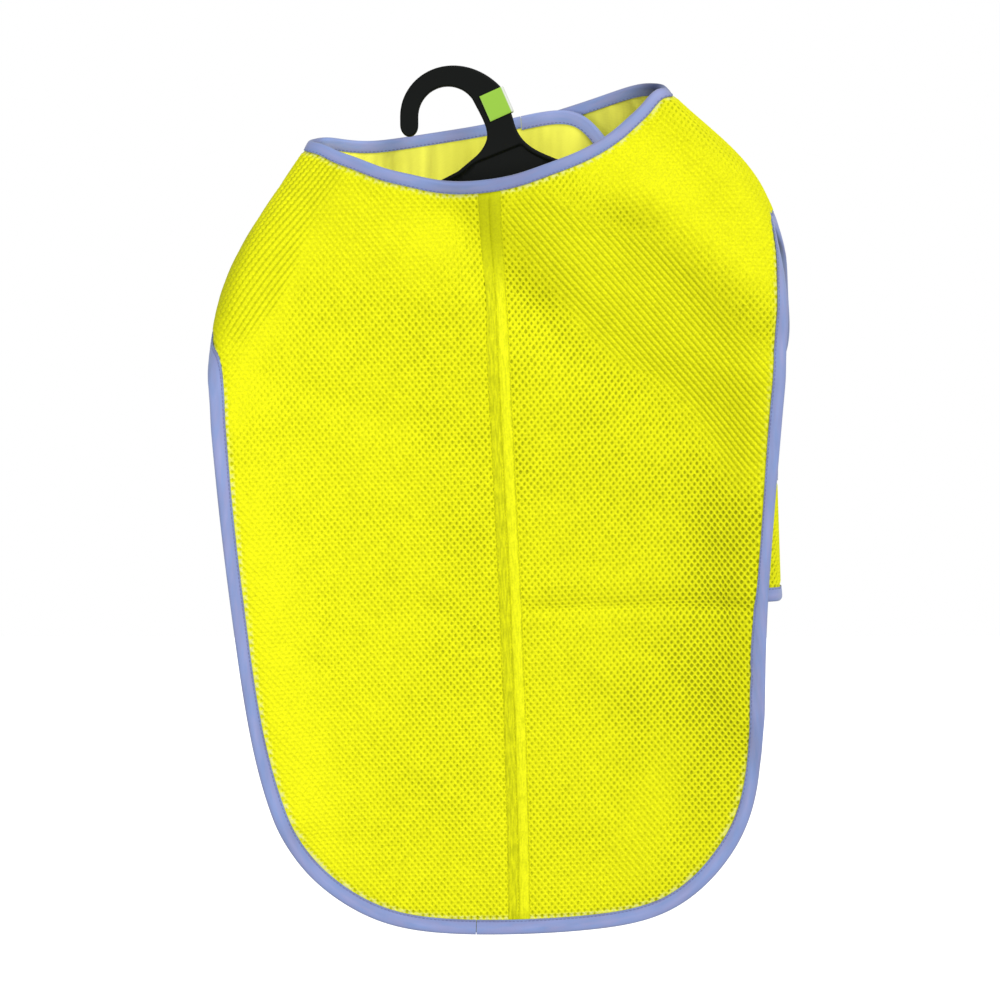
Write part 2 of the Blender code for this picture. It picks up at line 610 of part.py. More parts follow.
def hanger():
    """Hook, neck and arms moulded in one: the outline, thicker in the arms than in the hook."""
    outline = hanger_outline()
    work = bmesh.new()
    corners = [work.verts.new(metres((x, 0.0, z))) for x, z in outline]
    plate = work.faces.new(corners)
    grown = bmesh.ops.extrude_face_region(work, geom=[plate])
    back = {v for v in grown["geom"] if isinstance(v, bmesh.types.BMVert)}
    for vert in work.verts:
        height = vert.co.z * 1000
        blend = float(smoothstep((height - ARM_PLATE_BELOW) / PLATE_BLEND))
        depth = ARM_PLATE + (HOOK_PLATE - ARM_PLATE) * blend
        vert.co.y = (depth if vert in back else -depth) / 2 * 0.001
    bmesh.ops.recalc_face_normals(work, faces=work.faces)
    bmesh.ops.triangulate(work, faces=work.faces)
    mesh = bpy.data.meshes.new("hanger")
    work.to_mesh(mesh)
    work.free()
    mesh.materials.append(material("hanger"))
    made = bpy.data.objects.new("hanger", mesh)
    bpy.context.scene.collection.objects.link(made)
    return made


def size_clip():
    """The size marker: a plain clip that saddles the shank from its outer edge, open on the inner side."""
    lean = math.radians(HOOK_TILT)
    down = np.array([math.sin(lean), -math.cos(lean)])
    outwards = np.array([math.cos(lean), math.sin(lean)])
    inner_half, fold = HOOK_PLATE / 2 + GAP, CLIP_CLEAR + CLIP_WALL
    outer_half, cut_off = inner_half + CLIP_WALL, CLIP_WALL * CLIP_BEVEL
    section = [
        (-CLIP_REACH, -outer_half),
        (fold - cut_off, -outer_half),
        (fold, -outer_half + cut_off),
        (fold, outer_half - cut_off),
        (fold - cut_off, outer_half),
        (-CLIP_REACH, outer_half),
        (-CLIP_REACH, inner_half),
        (CLIP_CLEAR, inner_half),
        (CLIP_CLEAR, -inner_half),
        (-CLIP_REACH, -inner_half),
    ]
    points = []
    for end in (-0.5, 0.5):
        for out, depth in section:
            place = np.array(CLIP_MIDDLE) + down * CLIP_LENGTH * end + outwards * out
            points.append((place[0], depth, place[1]))
    count = len(section)
    sides = [(k, (k + 1) % count, count + (k + 1) % count, count + k) for k in range(count)]
    caps = [tuple(range(count))[::-1], tuple(range(count, 2 * count))]
    return add_object("size_clip", points, sides + caps, "clip")


# ---------------------------------------------------------------- build

for old in list(bpy.data.objects):
    bpy.data.objects.remove(old)

for side_name, side in (("left", -1), ("right", 1)):
    half(side_name, side)
    strap(side_name)
centre_seam()
tapes()
patches()
hanger()
size_clip()
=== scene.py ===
# %% [markdown]
# # A dog cooling vest on its hanger
#
# The vest is sewn from two mirrored pieces of spacer mesh, a thick open knit that holds water and lets it
# evaporate. Each piece runs from the seam down the dog's back, over the shoulder and across the chest to a
# flap, and has a smooth lining. Folded tape binds every edge. Two belly straps close behind. All of it
# hangs, askew, on a black plastic hanger.
#
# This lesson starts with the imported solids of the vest, which say where everything is and how large it is,
# and makes each piece again as finely as the eye sees it: the holes of the mesh, the roll of the tape, its
# stitches, the wrinkles of the lining and the finish of each of them.

# %% The frame and the tools
import math
from collections import namedtuple

import bpy
import numpy as np
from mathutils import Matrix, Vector
from mathutils.geometry import delaunay_2d_cdt


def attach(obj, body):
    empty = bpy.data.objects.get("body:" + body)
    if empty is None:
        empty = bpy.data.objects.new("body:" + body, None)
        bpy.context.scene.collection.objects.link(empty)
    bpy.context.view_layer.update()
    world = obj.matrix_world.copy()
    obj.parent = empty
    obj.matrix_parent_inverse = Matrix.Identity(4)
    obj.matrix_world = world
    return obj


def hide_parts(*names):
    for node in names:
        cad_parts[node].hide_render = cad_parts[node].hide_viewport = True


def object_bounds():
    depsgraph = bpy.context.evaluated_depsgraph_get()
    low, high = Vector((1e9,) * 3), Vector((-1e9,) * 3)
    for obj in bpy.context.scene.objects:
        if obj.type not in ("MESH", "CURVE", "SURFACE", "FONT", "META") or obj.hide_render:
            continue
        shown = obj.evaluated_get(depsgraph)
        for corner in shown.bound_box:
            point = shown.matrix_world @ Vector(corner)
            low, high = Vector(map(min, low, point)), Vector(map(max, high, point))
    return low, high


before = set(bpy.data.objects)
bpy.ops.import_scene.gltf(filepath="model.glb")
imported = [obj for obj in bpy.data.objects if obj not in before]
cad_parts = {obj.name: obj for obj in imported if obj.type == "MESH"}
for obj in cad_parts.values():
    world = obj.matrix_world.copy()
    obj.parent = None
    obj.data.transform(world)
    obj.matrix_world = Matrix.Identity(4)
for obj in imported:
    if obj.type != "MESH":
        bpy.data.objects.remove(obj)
cad_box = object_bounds()
MM = 0.001


def millimetres(corners):
    """A box's two corners, from metres to a pair of rows in mm."""
    return np.array([list(corner) for corner in corners]) / MM


def unit(vectors):
    """Each vector divided by its length."""
    return vectors / np.linalg.norm(vectors, axis=-1, keepdims=True)


def travelled(line):
    """The length along a line from its first point to each of its points."""
    return np.concatenate([[0], np.cumsum(np.linalg.norm(np.diff(line, axis=0), axis=-1))])


def smoothstep(value):
    """3 v^2 - 2 v^3 of v held between 0 and 1: a soft step from 0 to 1."""
    value = np.clip(value, 0, 1)
    return value * value * (3 - 2 * value)


box_low, box_high = millimetres(cad_box)
print("the vest's box in mm:", np.round(box_low), np.round(box_high))

# %% [markdown]
# ## Camera, light and floor
#
# The vest hangs in white light with hardly a shadow, as for a shop's catalogue. A large soft light stands
# to the upper right in front, so that the right shoulder is bright and the hollow below it is shaded. A
# small one close by on the left lifts that side. The rest comes evenly from all round. The floor is far
# below and white, and takes no part in the lighting.

# %% Camera
AIM_X, AIM_Y = 39.6, 0.0  # mm: the vest hangs askew, so the middle of the picture is beside the hook
AIM_ABOVE_CENTRE = 4.5
CAMERA_AWAY = 1450.0
CAMERA_ABOVE = math.radians(6)
TAKEN_IN = 780.0  # mm across the picture at the aim

aim = np.array([AIM_X, AIM_Y, (box_low[2] + box_high[2]) / 2 + AIM_ABOVE_CENTRE])
away = np.array([0.0, -math.cos(CAMERA_ABOVE), math.sin(CAMERA_ABOVE)])
camera = bpy.data.objects.new("camera", bpy.data.cameras.new("camera"))
camera.location = (aim + away * CAMERA_AWAY) * MM
camera.rotation_euler = (math.pi / 2 - CAMERA_ABOVE, 0, 0)
camera.data.sensor_width = 36
camera.data.lens = 36 * CAMERA_AWAY / TAKEN_IN
bpy.context.scene.collection.objects.link(camera)
bpy.context.scene.camera = camera
print("aim", np.round(aim, 1), "lens", round(camera.data.lens, 1))


# %% Nodes and colours
def linear(hex_colour, alpha=1.0):
    """The linear value of an sRGB hex colour: c / 12.92 below 0.04045, else ((c + 0.055) / 1.055) ^ 2.4."""
    parts = [int(hex_colour[k : k + 2], 16) / 255 for k in (1, 3, 5)]
    return [c / 12.92 if c <= 0.04045 else ((c + 0.055) / 1.055) ** 2.4 for c in parts] + [alpha]


def feed(tree, made, inputs):
    """Gives each of a node's sockets its value, or the output that feeds it."""
    for socket, value in inputs.items():
        if isinstance(value, bpy.types.NodeSocket):
            tree.links.new(value, made.inputs[socket])
        else:
            made.inputs[socket].default_value = value


def node(tree, kind, inputs=None, stops=None, **settings):
    """Adds a node. inputs says what its sockets are fed, and stops are a ramp's places and hex colours."""
    made = tree.nodes.new(kind)
    for name, value in settings.items():
        setattr(made, name, value)
    feed(tree, made, inputs or {})
    for k, (position, colour) in enumerate(stops or []):
        stop = made.color_ramp.elements[k] if k < 2 else made.color_ramp.elements.new(position)
        stop.position, stop.color = position, linear(colour)
    return made


def bare_finish(name):
    """A new material with its node tree and its shader, ready to be made up into a finish."""
    made = bpy.data.materials.new(name)
    made.use_nodes = True
    return made, made.node_tree, made.node_tree.nodes["Principled BSDF"]


# %% World, lights and floor
AMBIENT = 0.53
KEY_STRENGTH = 1.5
KEY_FROM = np.array([0.45, -0.75, 0.62])
KEY_SOFTNESS = math.radians(38)
WINDOW_POWER = 1.3  # a soft light to the left, near enough to fall off across the vest
WINDOW_SIZE = 0.3
WINDOW_AT = np.array([-280.0, -760.0, -250.0])
WINDOW_TOWARDS = np.array([0.0, -30.0, -300.0])

scene = bpy.context.scene
scene.view_settings.view_transform = "Standard"
world = bpy.data.worlds.new("white studio")
world.use_nodes = True
world.node_tree.nodes.clear()
scene.world = world
around = node(world.node_tree, "ShaderNodeBackground", {"Color": linear("#FFFFFF"), "Strength": AMBIENT})
behind = node(world.node_tree, "ShaderNodeBackground", {"Color": linear("#FFFFFF"), "Strength": 1.0})
seen = node(world.node_tree, "ShaderNodeLightPath").outputs["Is Camera Ray"]
either = node(world.node_tree, "ShaderNodeMixShader", {0: seen, 1: around.outputs[0], 2: behind.outputs[0]})
node(world.node_tree, "ShaderNodeOutputWorld", {"Surface": either.outputs[0]})


def studio_light(name, kind, backwards, **settings):
    """A light with these settings, turned to shine the opposite way to the direction backwards."""
    light = bpy.data.objects.new(name, bpy.data.lights.new(name, kind))
    for setting, value in settings.items():
        setattr(light.data, setting, value)
    light.rotation_mode = "QUATERNION"
    light.rotation_quaternion = Vector(backwards).to_track_quat("Z", "Y")
    scene.collection.objects.link(light)
    return light


studio_light("key light", "SUN", unit(KEY_FROM), energy=KEY_STRENGTH, angle=KEY_SOFTNESS)
window = studio_light("window light", "AREA", WINDOW_AT - WINDOW_TOWARDS, energy=WINDOW_POWER,
                      size=WINDOW_SIZE)
window.location = WINDOW_AT * MM
window.visible_camera = False

FLOOR_DROP = 850.0  # mm below the hem
FLOOR_HALF = 6000.0  # mm from its middle to each side
floor_z = box_low[2] - FLOOR_DROP
corners = np.array([(-1, -1), (1, -1), (1, 1), (-1, 1)]) * FLOOR_HALF
floor_mesh = bpy.data.meshes.new("floor")
floor_mesh.from_pydata([(x * MM, y * MM, floor_z * MM) for x, y in corners], [], [(0, 1, 2, 3)])
floor = bpy.data.objects.new("floor", floor_mesh)
floor_paint, floor_tree, floor_shader = bare_finish("white floor")
feed(floor_tree, floor_shader, {"Base Color": linear("#F4F4F4"), "Roughness": 0.9,
                                "Emission Color": linear("#FFFFFF"), "Emission Strength": 0.6})
floor_mesh.materials.append(floor_paint)
floor.visible_diffuse = False
floor.visible_glossy = False
scene.collection.objects.link(floor)
print("floor", round(floor_z), "mm")

# %% [markdown]
# ## The cut of the vest, as it hangs
#
# A rib is a line across the cloth from its neck edge to its outer edge, like a ruler laid on it. Forty-one
# of them, joined by a smooth curve, give the whole cloth: from the end of one flap, across the chest, over
# the shoulder, across the back to the seam, and round the other side in the same way. The vest's solids
# were made from the same ribs, so what is made from them here lies close to those solids.

# %% The ribs
# bow is how far a rib's middle stands to +X of the straight line in the plane of the panel, and belly how
# far it stands to +Y.
Rib = namedtuple("Rib", "place neck_x neck_y neck_z edge_x edge_y edge_z bow belly")

RIBS = [
    Rib("left flap end", 125, 27.5, -43, 128.5, 26.5, -135, 0, 0),
    Rib("left flap round", 108, 34.3, -22.5, 117, 31.5, -163, 0, 0),
    Rib("left flap corner", 82, 40.4, -15.3, 96, 36.5, -176, 0, 0),
    Rib("left flap past centre", 38, 43.2, -23.5, 42, 40.3, -187, 0, 0),
    Rib("left flap middle", 0, 41.5, -30.5, -18, 36.8, -210, 0, 0),
    Rib("left flap", -33, 36.2, -36, -72, 30, -241, 0, 0),
    Rib("left flap low", -60, 28.8, -39.8, -122, 23, -270, -3, 2),
    Rib("left armhole low", -80, 20.8, -39.5, -159, 17, -276, -6, 3),
    Rib("left armhole", -92, 13.2, -38.6, -175.5, 13.5, -245, -8.5, 3),
    Rib("left shoulder back", -100.8, 7, -40, -179.5, 9.5, -212, -11, 2),
    Rib("left shoulder top", -104.2, 0, -42.5, -179, 0, -194, -11, 0),
    Rib("left shoulder front", -98.6, -6, -44.5, -181, -15, -211, -10, -3),
    Rib("left under arm", -90.5, -11.5, -47.5, -179.3, -25, -245, -6, -3),
    Rib("left upper side", -82, -17.5, -51.7, -173.3, -26.5, -322, -3, -1),
    Rib("left strap", -70.5, -23, -56, -163.8, -26, -413, -1, 0),
    Rib("left side", -58, -28, -61, -151, -24, -505, 0, 2),
    Rib("left low side", -44, -32.3, -66, -130.6, -22, -576, 0, 4),
    Rib("left hem corner", -27, -36, -70, -100.5, -21, -618.5, 1, 6),
    Rib("left hem turn", -8, -38.5, -73.8, -54, -21, -646.8, 2, 7),
    Rib("left hem", 12, -39, -75, 0, -22.5, -656, 3, 7),
    Rib("centre seam", 31.4, -39, -73.7, 54.6, -23, -656.3, 3, 7),
    Rib("right hem", 52, -37.5, -69.8, 109.5, -21.5, -653.3, 3, 7),
    Rib("right hem turn", 75, -33.5, -62, 169.5, -19.5, -640, 3, 6),
    Rib("right hem corner", 94, -28.5, -54.5, 215.5, -20, -600, 3, 5),
    Rib("right low side", 110, -24, -46.5, 239.6, -21, -537, 3, 3),
    Rib("right side", 125, -19.5, -36.5, 242.2, -25, -440, 3, 0),
    Rib("right strap", 137, -15.5, -26, 245, -27, -350, 3, -2),
    Rib("right upper side", 147, -11.8, -16.5, 250.3, -27.5, -268, 4, -5),
    Rib("right under arm", 154.5, -9, -8, 255, -25, -195, 6.5, -8),
    Rib("right shoulder front", 160.5, -6, -4, 253, -17, -143, 9.5, -8),
    Rib("right shoulder top", 164, 0, -3.5, 248, 0, -107, 11, 0),
    Rib("right shoulder back", 162.5, 8, 0.5, 257.5, 9.5, -124, 10.5, 5),
    Rib("right armhole", 154, 16, 2.6, 262.5, 14.5, -163, 8, 6),
    Rib("right armhole low", 141, 28.5, 2, 258, 19, -213, 3, 5),
    Rib("right flap low", 118, 40, -4.5, 208, 30, -238, 0, 3),
    Rib("right flap", 90, 46.8, -13, 140, 40.5, -210, 0, 1),
    Rib("right flap middle", 55, 50.3, -23, 75, 48, -190, 0, 0),
    Rib("right flap past centre", 15, 50, -33, 15, 48.5, -182, 0, 0),
    Rib("right flap corner", -28, 46.8, -44.5, -34, 45.6, -178, 0, 0),
    Rib("right flap round", -50, 44, -58, -53, 43.2, -164, 0, 0),
    Rib("right flap end", -60, 42.6, -80, -62, 42, -135, 0, 0),
]
SEAM_RIB = 20
LAST_RIB = 20  # ribs from the seam to the end of either flap
SHOULDER_RIBS = 10  # ribs from the seam to the top of a shoulder
BOW_LOW = 0.7  # how much further than its middle a rib bows near its outer edge, and less near the neck
NEAR_FULL = 8.5  # ribs from the seam out to which the folds of the back panel stand at their full height
SIDES = {"left": -1, "right": 1}
print(len(RIBS), "ribs")

# %% [markdown]
# ## Folds and creases
#
# Thick mesh does not drape in sharp folds. It lies in broad waves, with a few shallow dents where it has
# been folded in its packet. Each is one line with a soft bell across it. A negative height
# stands out towards the viewer. The first seven are broad enough to be in the vest's solids too, and the
# rest are only here.

# %% The folds
Fold = namedtuple("Fold", "place x0 z0 x1 z1 half_width height")

BACK_FOLDS = [
    Fold("ridge over the right arm, inner", 84, -78, 150, -84, 24, -5),
    Fold("ridge over the right arm, outer", 150, -82, 238, -168, 24, -9),
    Fold("hollow under the neck", 4, -96, 64, -168, 25, 12.5),
    Fold("hollow across the right half", 64, -168, 190, -250, 31, 6),
    Fold("curled right edge", 240, -225, 238, -480, 27, -10.5),
    Fold("curled left edge", -168, -265, -126, -560, 27, -7),
    Fold("slack under the left shoulder", -96, -118, -140, -200, 26, 3),
    Fold("packet crease across the right half", 62, -399, 228, -396, 7, 2.1),
    Fold("packet crease, fading to the left", -60, -404, 24, -400, 9, 0.6),
    Fold("swell above the packet crease", 80, -380, 220, -376, 12, -1.3),
    Fold("dent under the packet crease", 92, -430, 150, -470, 13, -1.1),
    Fold("dent beside it", 150, -424, 205, -480, 12, 1.2),
    Fold("hollow by the right hem", 168, -530, 196, -580, 15, 1.6),
    Fold("swell above the right hem", 110, -560, 160, -610, 16, -1.3),
    Fold("slant dent, upper left", -150, -216, -20, -258, 11, 0.9),
    Fold("slant swell, upper left", -140, -250, -10, -290, 14, -0.9),
    Fold("short dent by the left edge", -126, -428, -96, -446, 8, 0.9),
    Fold("slant dent, middle left", -44, -380, 34, -428, 10, 1.0),
    Fold("slant swell, lower left", -58, -488, 24, -566, 14, -1.2),
    Fold("dent beside the seam", 36, -500, 42, -556, 9, 1.0),
]
FLAP_FOLDS = [
    Fold("wave under the left armhole", -150, -180, -90, -250, 16, -2.0),
    Fold("wave beside it", -120, -140, -60, -220, 14, 1.6),
    Fold("wave under the right armhole", 222, -120, 176, -214, 16, 2.2),
    Fold("wave beside it, right", 190, -70, 150, -190, 14, -1.5),
]
WHOLE_SIDE_TURNS = 11.5  # ribs from the seam from which the flaps' folds stand at their full height


def fold_depth(folds, x, z):
    """Sum of the folds: each is height * exp(-(d / half_width)^2), where d is the distance to its line."""
    depth = np.zeros_like(x)
    for fold in folds:
        run = np.array([fold.x1 - fold.x0, fold.z1 - fold.z0], float)
        along = ((x - fold.x0) * run[0] + (z - fold.z0) * run[1]) / (run @ run)
        along = np.clip(along, 0, 1)
        off = np.hypot(x - fold.x0 - along * run[0], z - fold.z0 - along * run[1])
        depth += fold.height * np.exp(-((off / fold.half_width) ** 2))
    return depth


# %% The cloth
def spline(rows, at):
    """Natural cubic spline through rows, which stand at 0, 1, 2 and so on, read at the positions in at."""
    rows = np.asarray(rows, float)
    count = len(rows)
    system = np.eye(count)
    bends = np.zeros_like(rows)
    for k in range(1, count - 1):
        system[k, k - 1 : k + 2] = 1, 4, 1
    bends[1:-1] = 6 * (rows[:-2] - 2 * rows[1:-1] + rows[2:])
    curvature = np.linalg.solve(system, bends)
    at = np.asarray(at, float)
    k = np.clip(np.floor(at).astype(int), 0, count - 2)
    f = (at - k)[..., None]
    straight = (1 - f) * rows[k] + f * rows[k + 1]
    bend = ((1 - f) ** 3 - (1 - f)) * curvature[k] + (f**3 - f) * curvature[k + 1]
    return straight + bend / 6


def cloth(u, t):
    """Points of the vest's surface. u counts ribs from the seam, negative to the left; t runs neck to edge.

    Each rib is the straight line from its neck point to its edge point plus 4 t (1 - t) times its bow and
    belly. The back's folds move points along Y and fade out at the shoulders, where the flaps' fade in.
    """
    rows = spline([rib[1:] for rib in RIBS], u + SEAM_RIB)
    neck, edge, bow, belly = rows[..., 0:3], rows[..., 3:6], rows[..., 6], rows[..., 7]
    t = np.asarray(t, float)
    across = edge - neck
    point = neck + across * t[..., None]
    flat = np.hypot(across[..., 0], across[..., 2])
    arch = 4 * t * (1 - t)
    bowed = arch * bow * (1 + BOW_LOW * (2 * t - 1)) / flat
    point[..., 0] -= bowed * across[..., 2]
    point[..., 2] += bowed * across[..., 0]
    point[..., 1] += arch * belly
    near = smoothstep((SHOULDER_RIBS - np.abs(u)) / (SHOULDER_RIBS - NEAR_FULL))
    far = smoothstep((np.abs(u) - SHOULDER_RIBS) / (WHOLE_SIDE_TURNS - SHOULDER_RIBS))
    x, z = point[..., 0].copy(), point[..., 2].copy()
    point[..., 1] += near * fold_depth(BACK_FOLDS, x, z) + far * fold_depth(FLAP_FOLDS, x, z)
    return point


def normals(u, t):
    """Outward unit normals of the surface, by central differences."""
    step = 1e-3
    down = cloth(u, np.minimum(t + step, 1)) - cloth(u, np.maximum(t - step, 0))
    ahead, behind = np.minimum(u + step, LAST_RIB), np.maximum(u - step, -LAST_RIB)
    return unit(np.cross(down, cloth(ahead, t) - cloth(behind, t)))


def on_vest(at, height):
    """The surface's points at (u, t) pairs, moved out along its normals by height, in mm."""
    u, t = at[..., 0], at[..., 1]
    return cloth(u, t) + normals(u, t) * np.asarray(height, float)[..., None]


# %% A piece of the vest
made_triangles = {}


def turned_out(points, faces):
    """The faces, turned round if the closed mesh they make has a negative volume."""
    volume = 0.0
    for rows in faces:
        first = points[rows[:, 0]]
        for k in range(1, rows.shape[1] - 1):
            volume += np.sum(first * np.cross(points[rows[:, k]], points[rows[:, k + 1]]))
    return [rows[:, ::-1] for rows in faces] if volume < 0 else list(faces)


def piece(name, points, faces, finish, stands_for, attributes=None, cut=None, sharp=60):
    """An object from points in mm and arrays of faces, one array for each number of corners.

    attributes are values at the points, and cut is where the points lie on the flat cloth, in mm.
    """
    mesh = bpy.data.meshes.new(name)
    faces = turned_out(points, faces)
    corners = np.concatenate([rows.ravel() for rows in faces]).astype(np.int32)
    sizes = np.concatenate([np.full(len(rows), rows.shape[1]) for rows in faces])
    mesh.vertices.add(len(points))
    mesh.vertices.foreach_set("co", (np.asarray(points) * MM).astype(np.float32).ravel())
    mesh.loops.add(len(corners))
    mesh.loops.foreach_set("vertex_index", corners)
    mesh.polygons.add(len(sizes))
    mesh.polygons.foreach_set("loop_start", (np.cumsum(sizes) - sizes).astype(np.int32))
    if cut is not None:
        layer = mesh.uv_layers.new(name="cut")
        layer.data.foreach_set("uv", (np.asarray(cut)[corners] * MM).astype(np.float32).ravel())
    for key_name, values in (attributes or {}).items():
        attribute = mesh.attributes.new(key_name, "FLOAT", "POINT")
        attribute.data.foreach_set("value", np.asarray(values, np.float32).ravel())
    mesh.update(calc_edges=True)
    mesh.validate()
    mesh.shade_smooth()
    mesh.set_sharp_from_angle(angle=math.radians(sharp))
    mesh.materials.append(finish)
    made = bpy.data.objects.new(name, mesh)
    scene.collection.objects.link(made)
    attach(made, "root")
    if stands_for:
        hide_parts(*stands_for)
    made_triangles[name] = int((sizes - 2).sum())
    print(name, len(points), "points", made_triangles[name], "triangles")
    return made


def wall(upper, lower):
    """Points and faces of a closed wall between two grids of points that match one to one."""
    columns, rows = upper.shape[:2]
    count = columns * rows
    at = np.arange(count).reshape(columns, rows)
    top = np.stack([at[:-1, :-1], at[1:, :-1], at[1:, 1:], at[:-1, 1:]], axis=-1).reshape(-1, 4)
    rim = np.concatenate([at[:, 0], at[-1, 1:], at[-2::-1, -1], at[0, -2:0:-1]])
    after = np.roll(rim, -1)
    sides = np.stack([after, rim, rim + count, after + count], axis=-1)
    points = np.concatenate([upper.reshape(-1, 3), lower.reshape(-1, 3)])
    return points, np.concatenate([top, top[:, ::-1] + count, sides])

# %% [markdown]
# ## Laying the cut flat
#
# The holes of a knit are evenly spaced on the flat cloth, so the pattern is laid out there and carried up
# to the hanging surface. To find the flat cut, the surface is taken as a net of triangles. A first guess
# unrolls it strip by strip, by the lengths of each strip's sides. Then two steps take turns: each triangle
# is turned in the plane to agree best with its neighbours, and all corners are moved to agree best with the
# turned triangles. The seam stays a straight line down the cut, because there the cloth was cut straight.

# %% The net
NET_COLUMNS, NET_ROWS = 81, 17
EASING_STEPS = 150


def third_corner(a, b, from_a, from_b):
    """The point at those distances from a and b in the plane, on the side away from the seam."""
    base = np.linalg.norm(b - a)
    along = (base**2 + from_a**2 - from_b**2) / (2 * base)
    out = math.sqrt(max(from_a**2 - along**2, 0.0))
    direction = (b - a) / base
    return a + direction * along + out * np.array([direction[1], -direction[0]])


def unrolled(hung):
    """First guess at the flat net: each strip between two columns is laid by the lengths of its sides."""
    down = np.linalg.norm(np.diff(hung, axis=1), axis=-1)
    share = np.concatenate([np.zeros((len(hung), 1)), np.cumsum(down, axis=1)], axis=1)
    flat = np.zeros(hung.shape[:2] + (2,))
    flat[0, :, 1] = share[0]
    for k in range(1, len(hung)):
        neck, edge = flat[k - 1, 0], flat[k - 1, -1]
        sides = [np.linalg.norm(hung[k, 0] - hung[k - 1, end]) for end in (0, -1)]
        flat[k, 0] = third_corner(neck, edge, *sides)
        outer = np.linalg.norm(hung[k, -1] - hung[k - 1, -1])
        flat[k, -1] = third_corner(flat[k, 0], edge, share[k, -1], outer)
        flat[k] = flat[k, 0] + (flat[k, -1] - flat[k, 0]) * (share[k] / share[k, -1])[:, None]
    return flat


def lay_flat(side):
    """The net's u, t and flat places in mm: first coordinate out from the seam, second down it.

    Turning: for a triangle with edges e at rest and f now, each weighted by the cotangent c of the angle
    opposite, the tangent of the angle is the sum of c (e x f) over the sum of c (e . f).
    Moving: least squares of c |f - turned e|^2.
    """
    u = np.linspace(0, LAST_RIB * side, NET_COLUMNS)[:, None] + np.zeros(NET_ROWS)
    t = np.linspace(0, 1, NET_ROWS)[None, :] + np.zeros_like(u)
    hung = cloth(u, t)
    flat = unrolled(hung).reshape(-1, 2)
    at = np.arange(u.size).reshape(u.shape)
    first = np.stack([at[:-1, :-1], at[1:, :-1], at[:-1, 1:]], axis=-1).reshape(-1, 3)
    second = np.stack([at[1:, 1:], at[:-1, 1:], at[1:, :-1]], axis=-1).reshape(-1, 3)
    corner = np.concatenate([first, second])
    after = np.roll(corner, -1, axis=1)
    place = hung.reshape(-1, 3)
    edge = place[after] - place[corner]
    long = np.linalg.norm(edge[:, 0], axis=-1)
    along = np.sum(-edge[:, 2] * edge[:, 0], axis=-1) / long
    height = np.linalg.norm(np.cross(edge[:, 0], -edge[:, 2]), axis=-1) / long
    lie = np.zeros((len(corner), 3, 2))
    lie[:, 1, 0], lie[:, 2, 0], lie[:, 2, 1] = long, along, height
    rest = np.roll(lie, -1, axis=1) - lie
    before, opposite = np.roll(rest, 1, axis=1), np.roll(rest, -1, axis=1)
    weight = -np.sum(before * opposite, axis=-1) / (long * height)[:, None]
    matrix = np.zeros((u.size, u.size))
    for a, b, sign in ((corner, corner, 1), (after, after, 1), (corner, after, -1), (after, corner, -1)):
        np.add.at(matrix, (a, b), sign * weight)
    free = at[1:].ravel()
    solve = np.linalg.inv(matrix[np.ix_(free, free)])
    held = matrix[np.ix_(free, at[0])] @ flat[at[0]]
    for _ in range(EASING_STEPS):
        now = flat[after] - flat[corner]
        turn = np.arctan2(
            np.sum(weight * (rest[..., 0] * now[..., 1] - rest[..., 1] * now[..., 0]), axis=1),
            np.sum(weight * np.sum(rest * now, axis=-1), axis=1),
        )[:, None]
        turned = np.stack([rest[..., 0] * np.cos(turn) - rest[..., 1] * np.sin(turn),
                           rest[..., 0] * np.sin(turn) + rest[..., 1] * np.cos(turn)], axis=-1)
        pull = np.zeros_like(flat)
        np.add.at(pull, after, turned * weight[..., None])
        np.add.at(pull, corner, -turned * weight[..., None])
        flat[free] = solve @ (pull[free] - held)
    flat = flat.reshape(u.shape + (2,))
    laid, hangs = (np.linalg.norm(np.diff(rows, axis=0), axis=-1) for rows in (flat, hung))
    stretch = laid / hangs - 1
    print("net", side, "threads off by", round(100 * float(np.abs(stretch).mean()), 1), "% on average")
    flat[..., 0] *= side
    return u, t, flat


nets = {name: lay_flat(side) for name, side in SIDES.items()}

# %% [markdown]
# To carry a point of the flat cut up to the hanging cloth, the nearest knot of the net gives a first guess,
# and a few Newton steps on the net's own meshes give the exact place. The distance to the cut's edge is
# measured on the flat cloth too, because the tape presses the mesh down along it.


# %% From the flat cut to the cloth
JOIN_RIB = 17.4  # where the side tapes meet the neck tape on a flap's neck edge
NECK_NARROWER = 1.6  # mm by which the neck tape is narrower than the others
HEM_WIDER, HEM_TO, HEM_FADES = 1.4, 4.0, 1.5  # mm, and ribs from the seam
CURL_NARROWER, CURL_RIB, CURL_HALF = 2.6, 5.7, 1.1  # where the right side turns in
NEWTON_STEPS = 10
CHUNK = 1500  # points handled together, to keep the distance tables small


def read_net(net, column, row):
    """The net between its knots: bilinear, with its two slopes. column and row count knots."""
    i = np.clip(np.floor(column).astype(int), 0, NET_COLUMNS - 2)
    j = np.clip(np.floor(row).astype(int), 0, NET_ROWS - 2)
    f, g = (column - i)[:, None], (row - j)[:, None]
    a, b, c, d = net[i, j], net[i + 1, j], net[i, j + 1], net[i + 1, j + 1]
    value = a * (1 - f) * (1 - g) + b * f * (1 - g) + c * (1 - f) * g + d * f * g
    return value, (b - a) * (1 - g) + (d - c) * g, (c - a) * (1 - f) + (d - b) * f


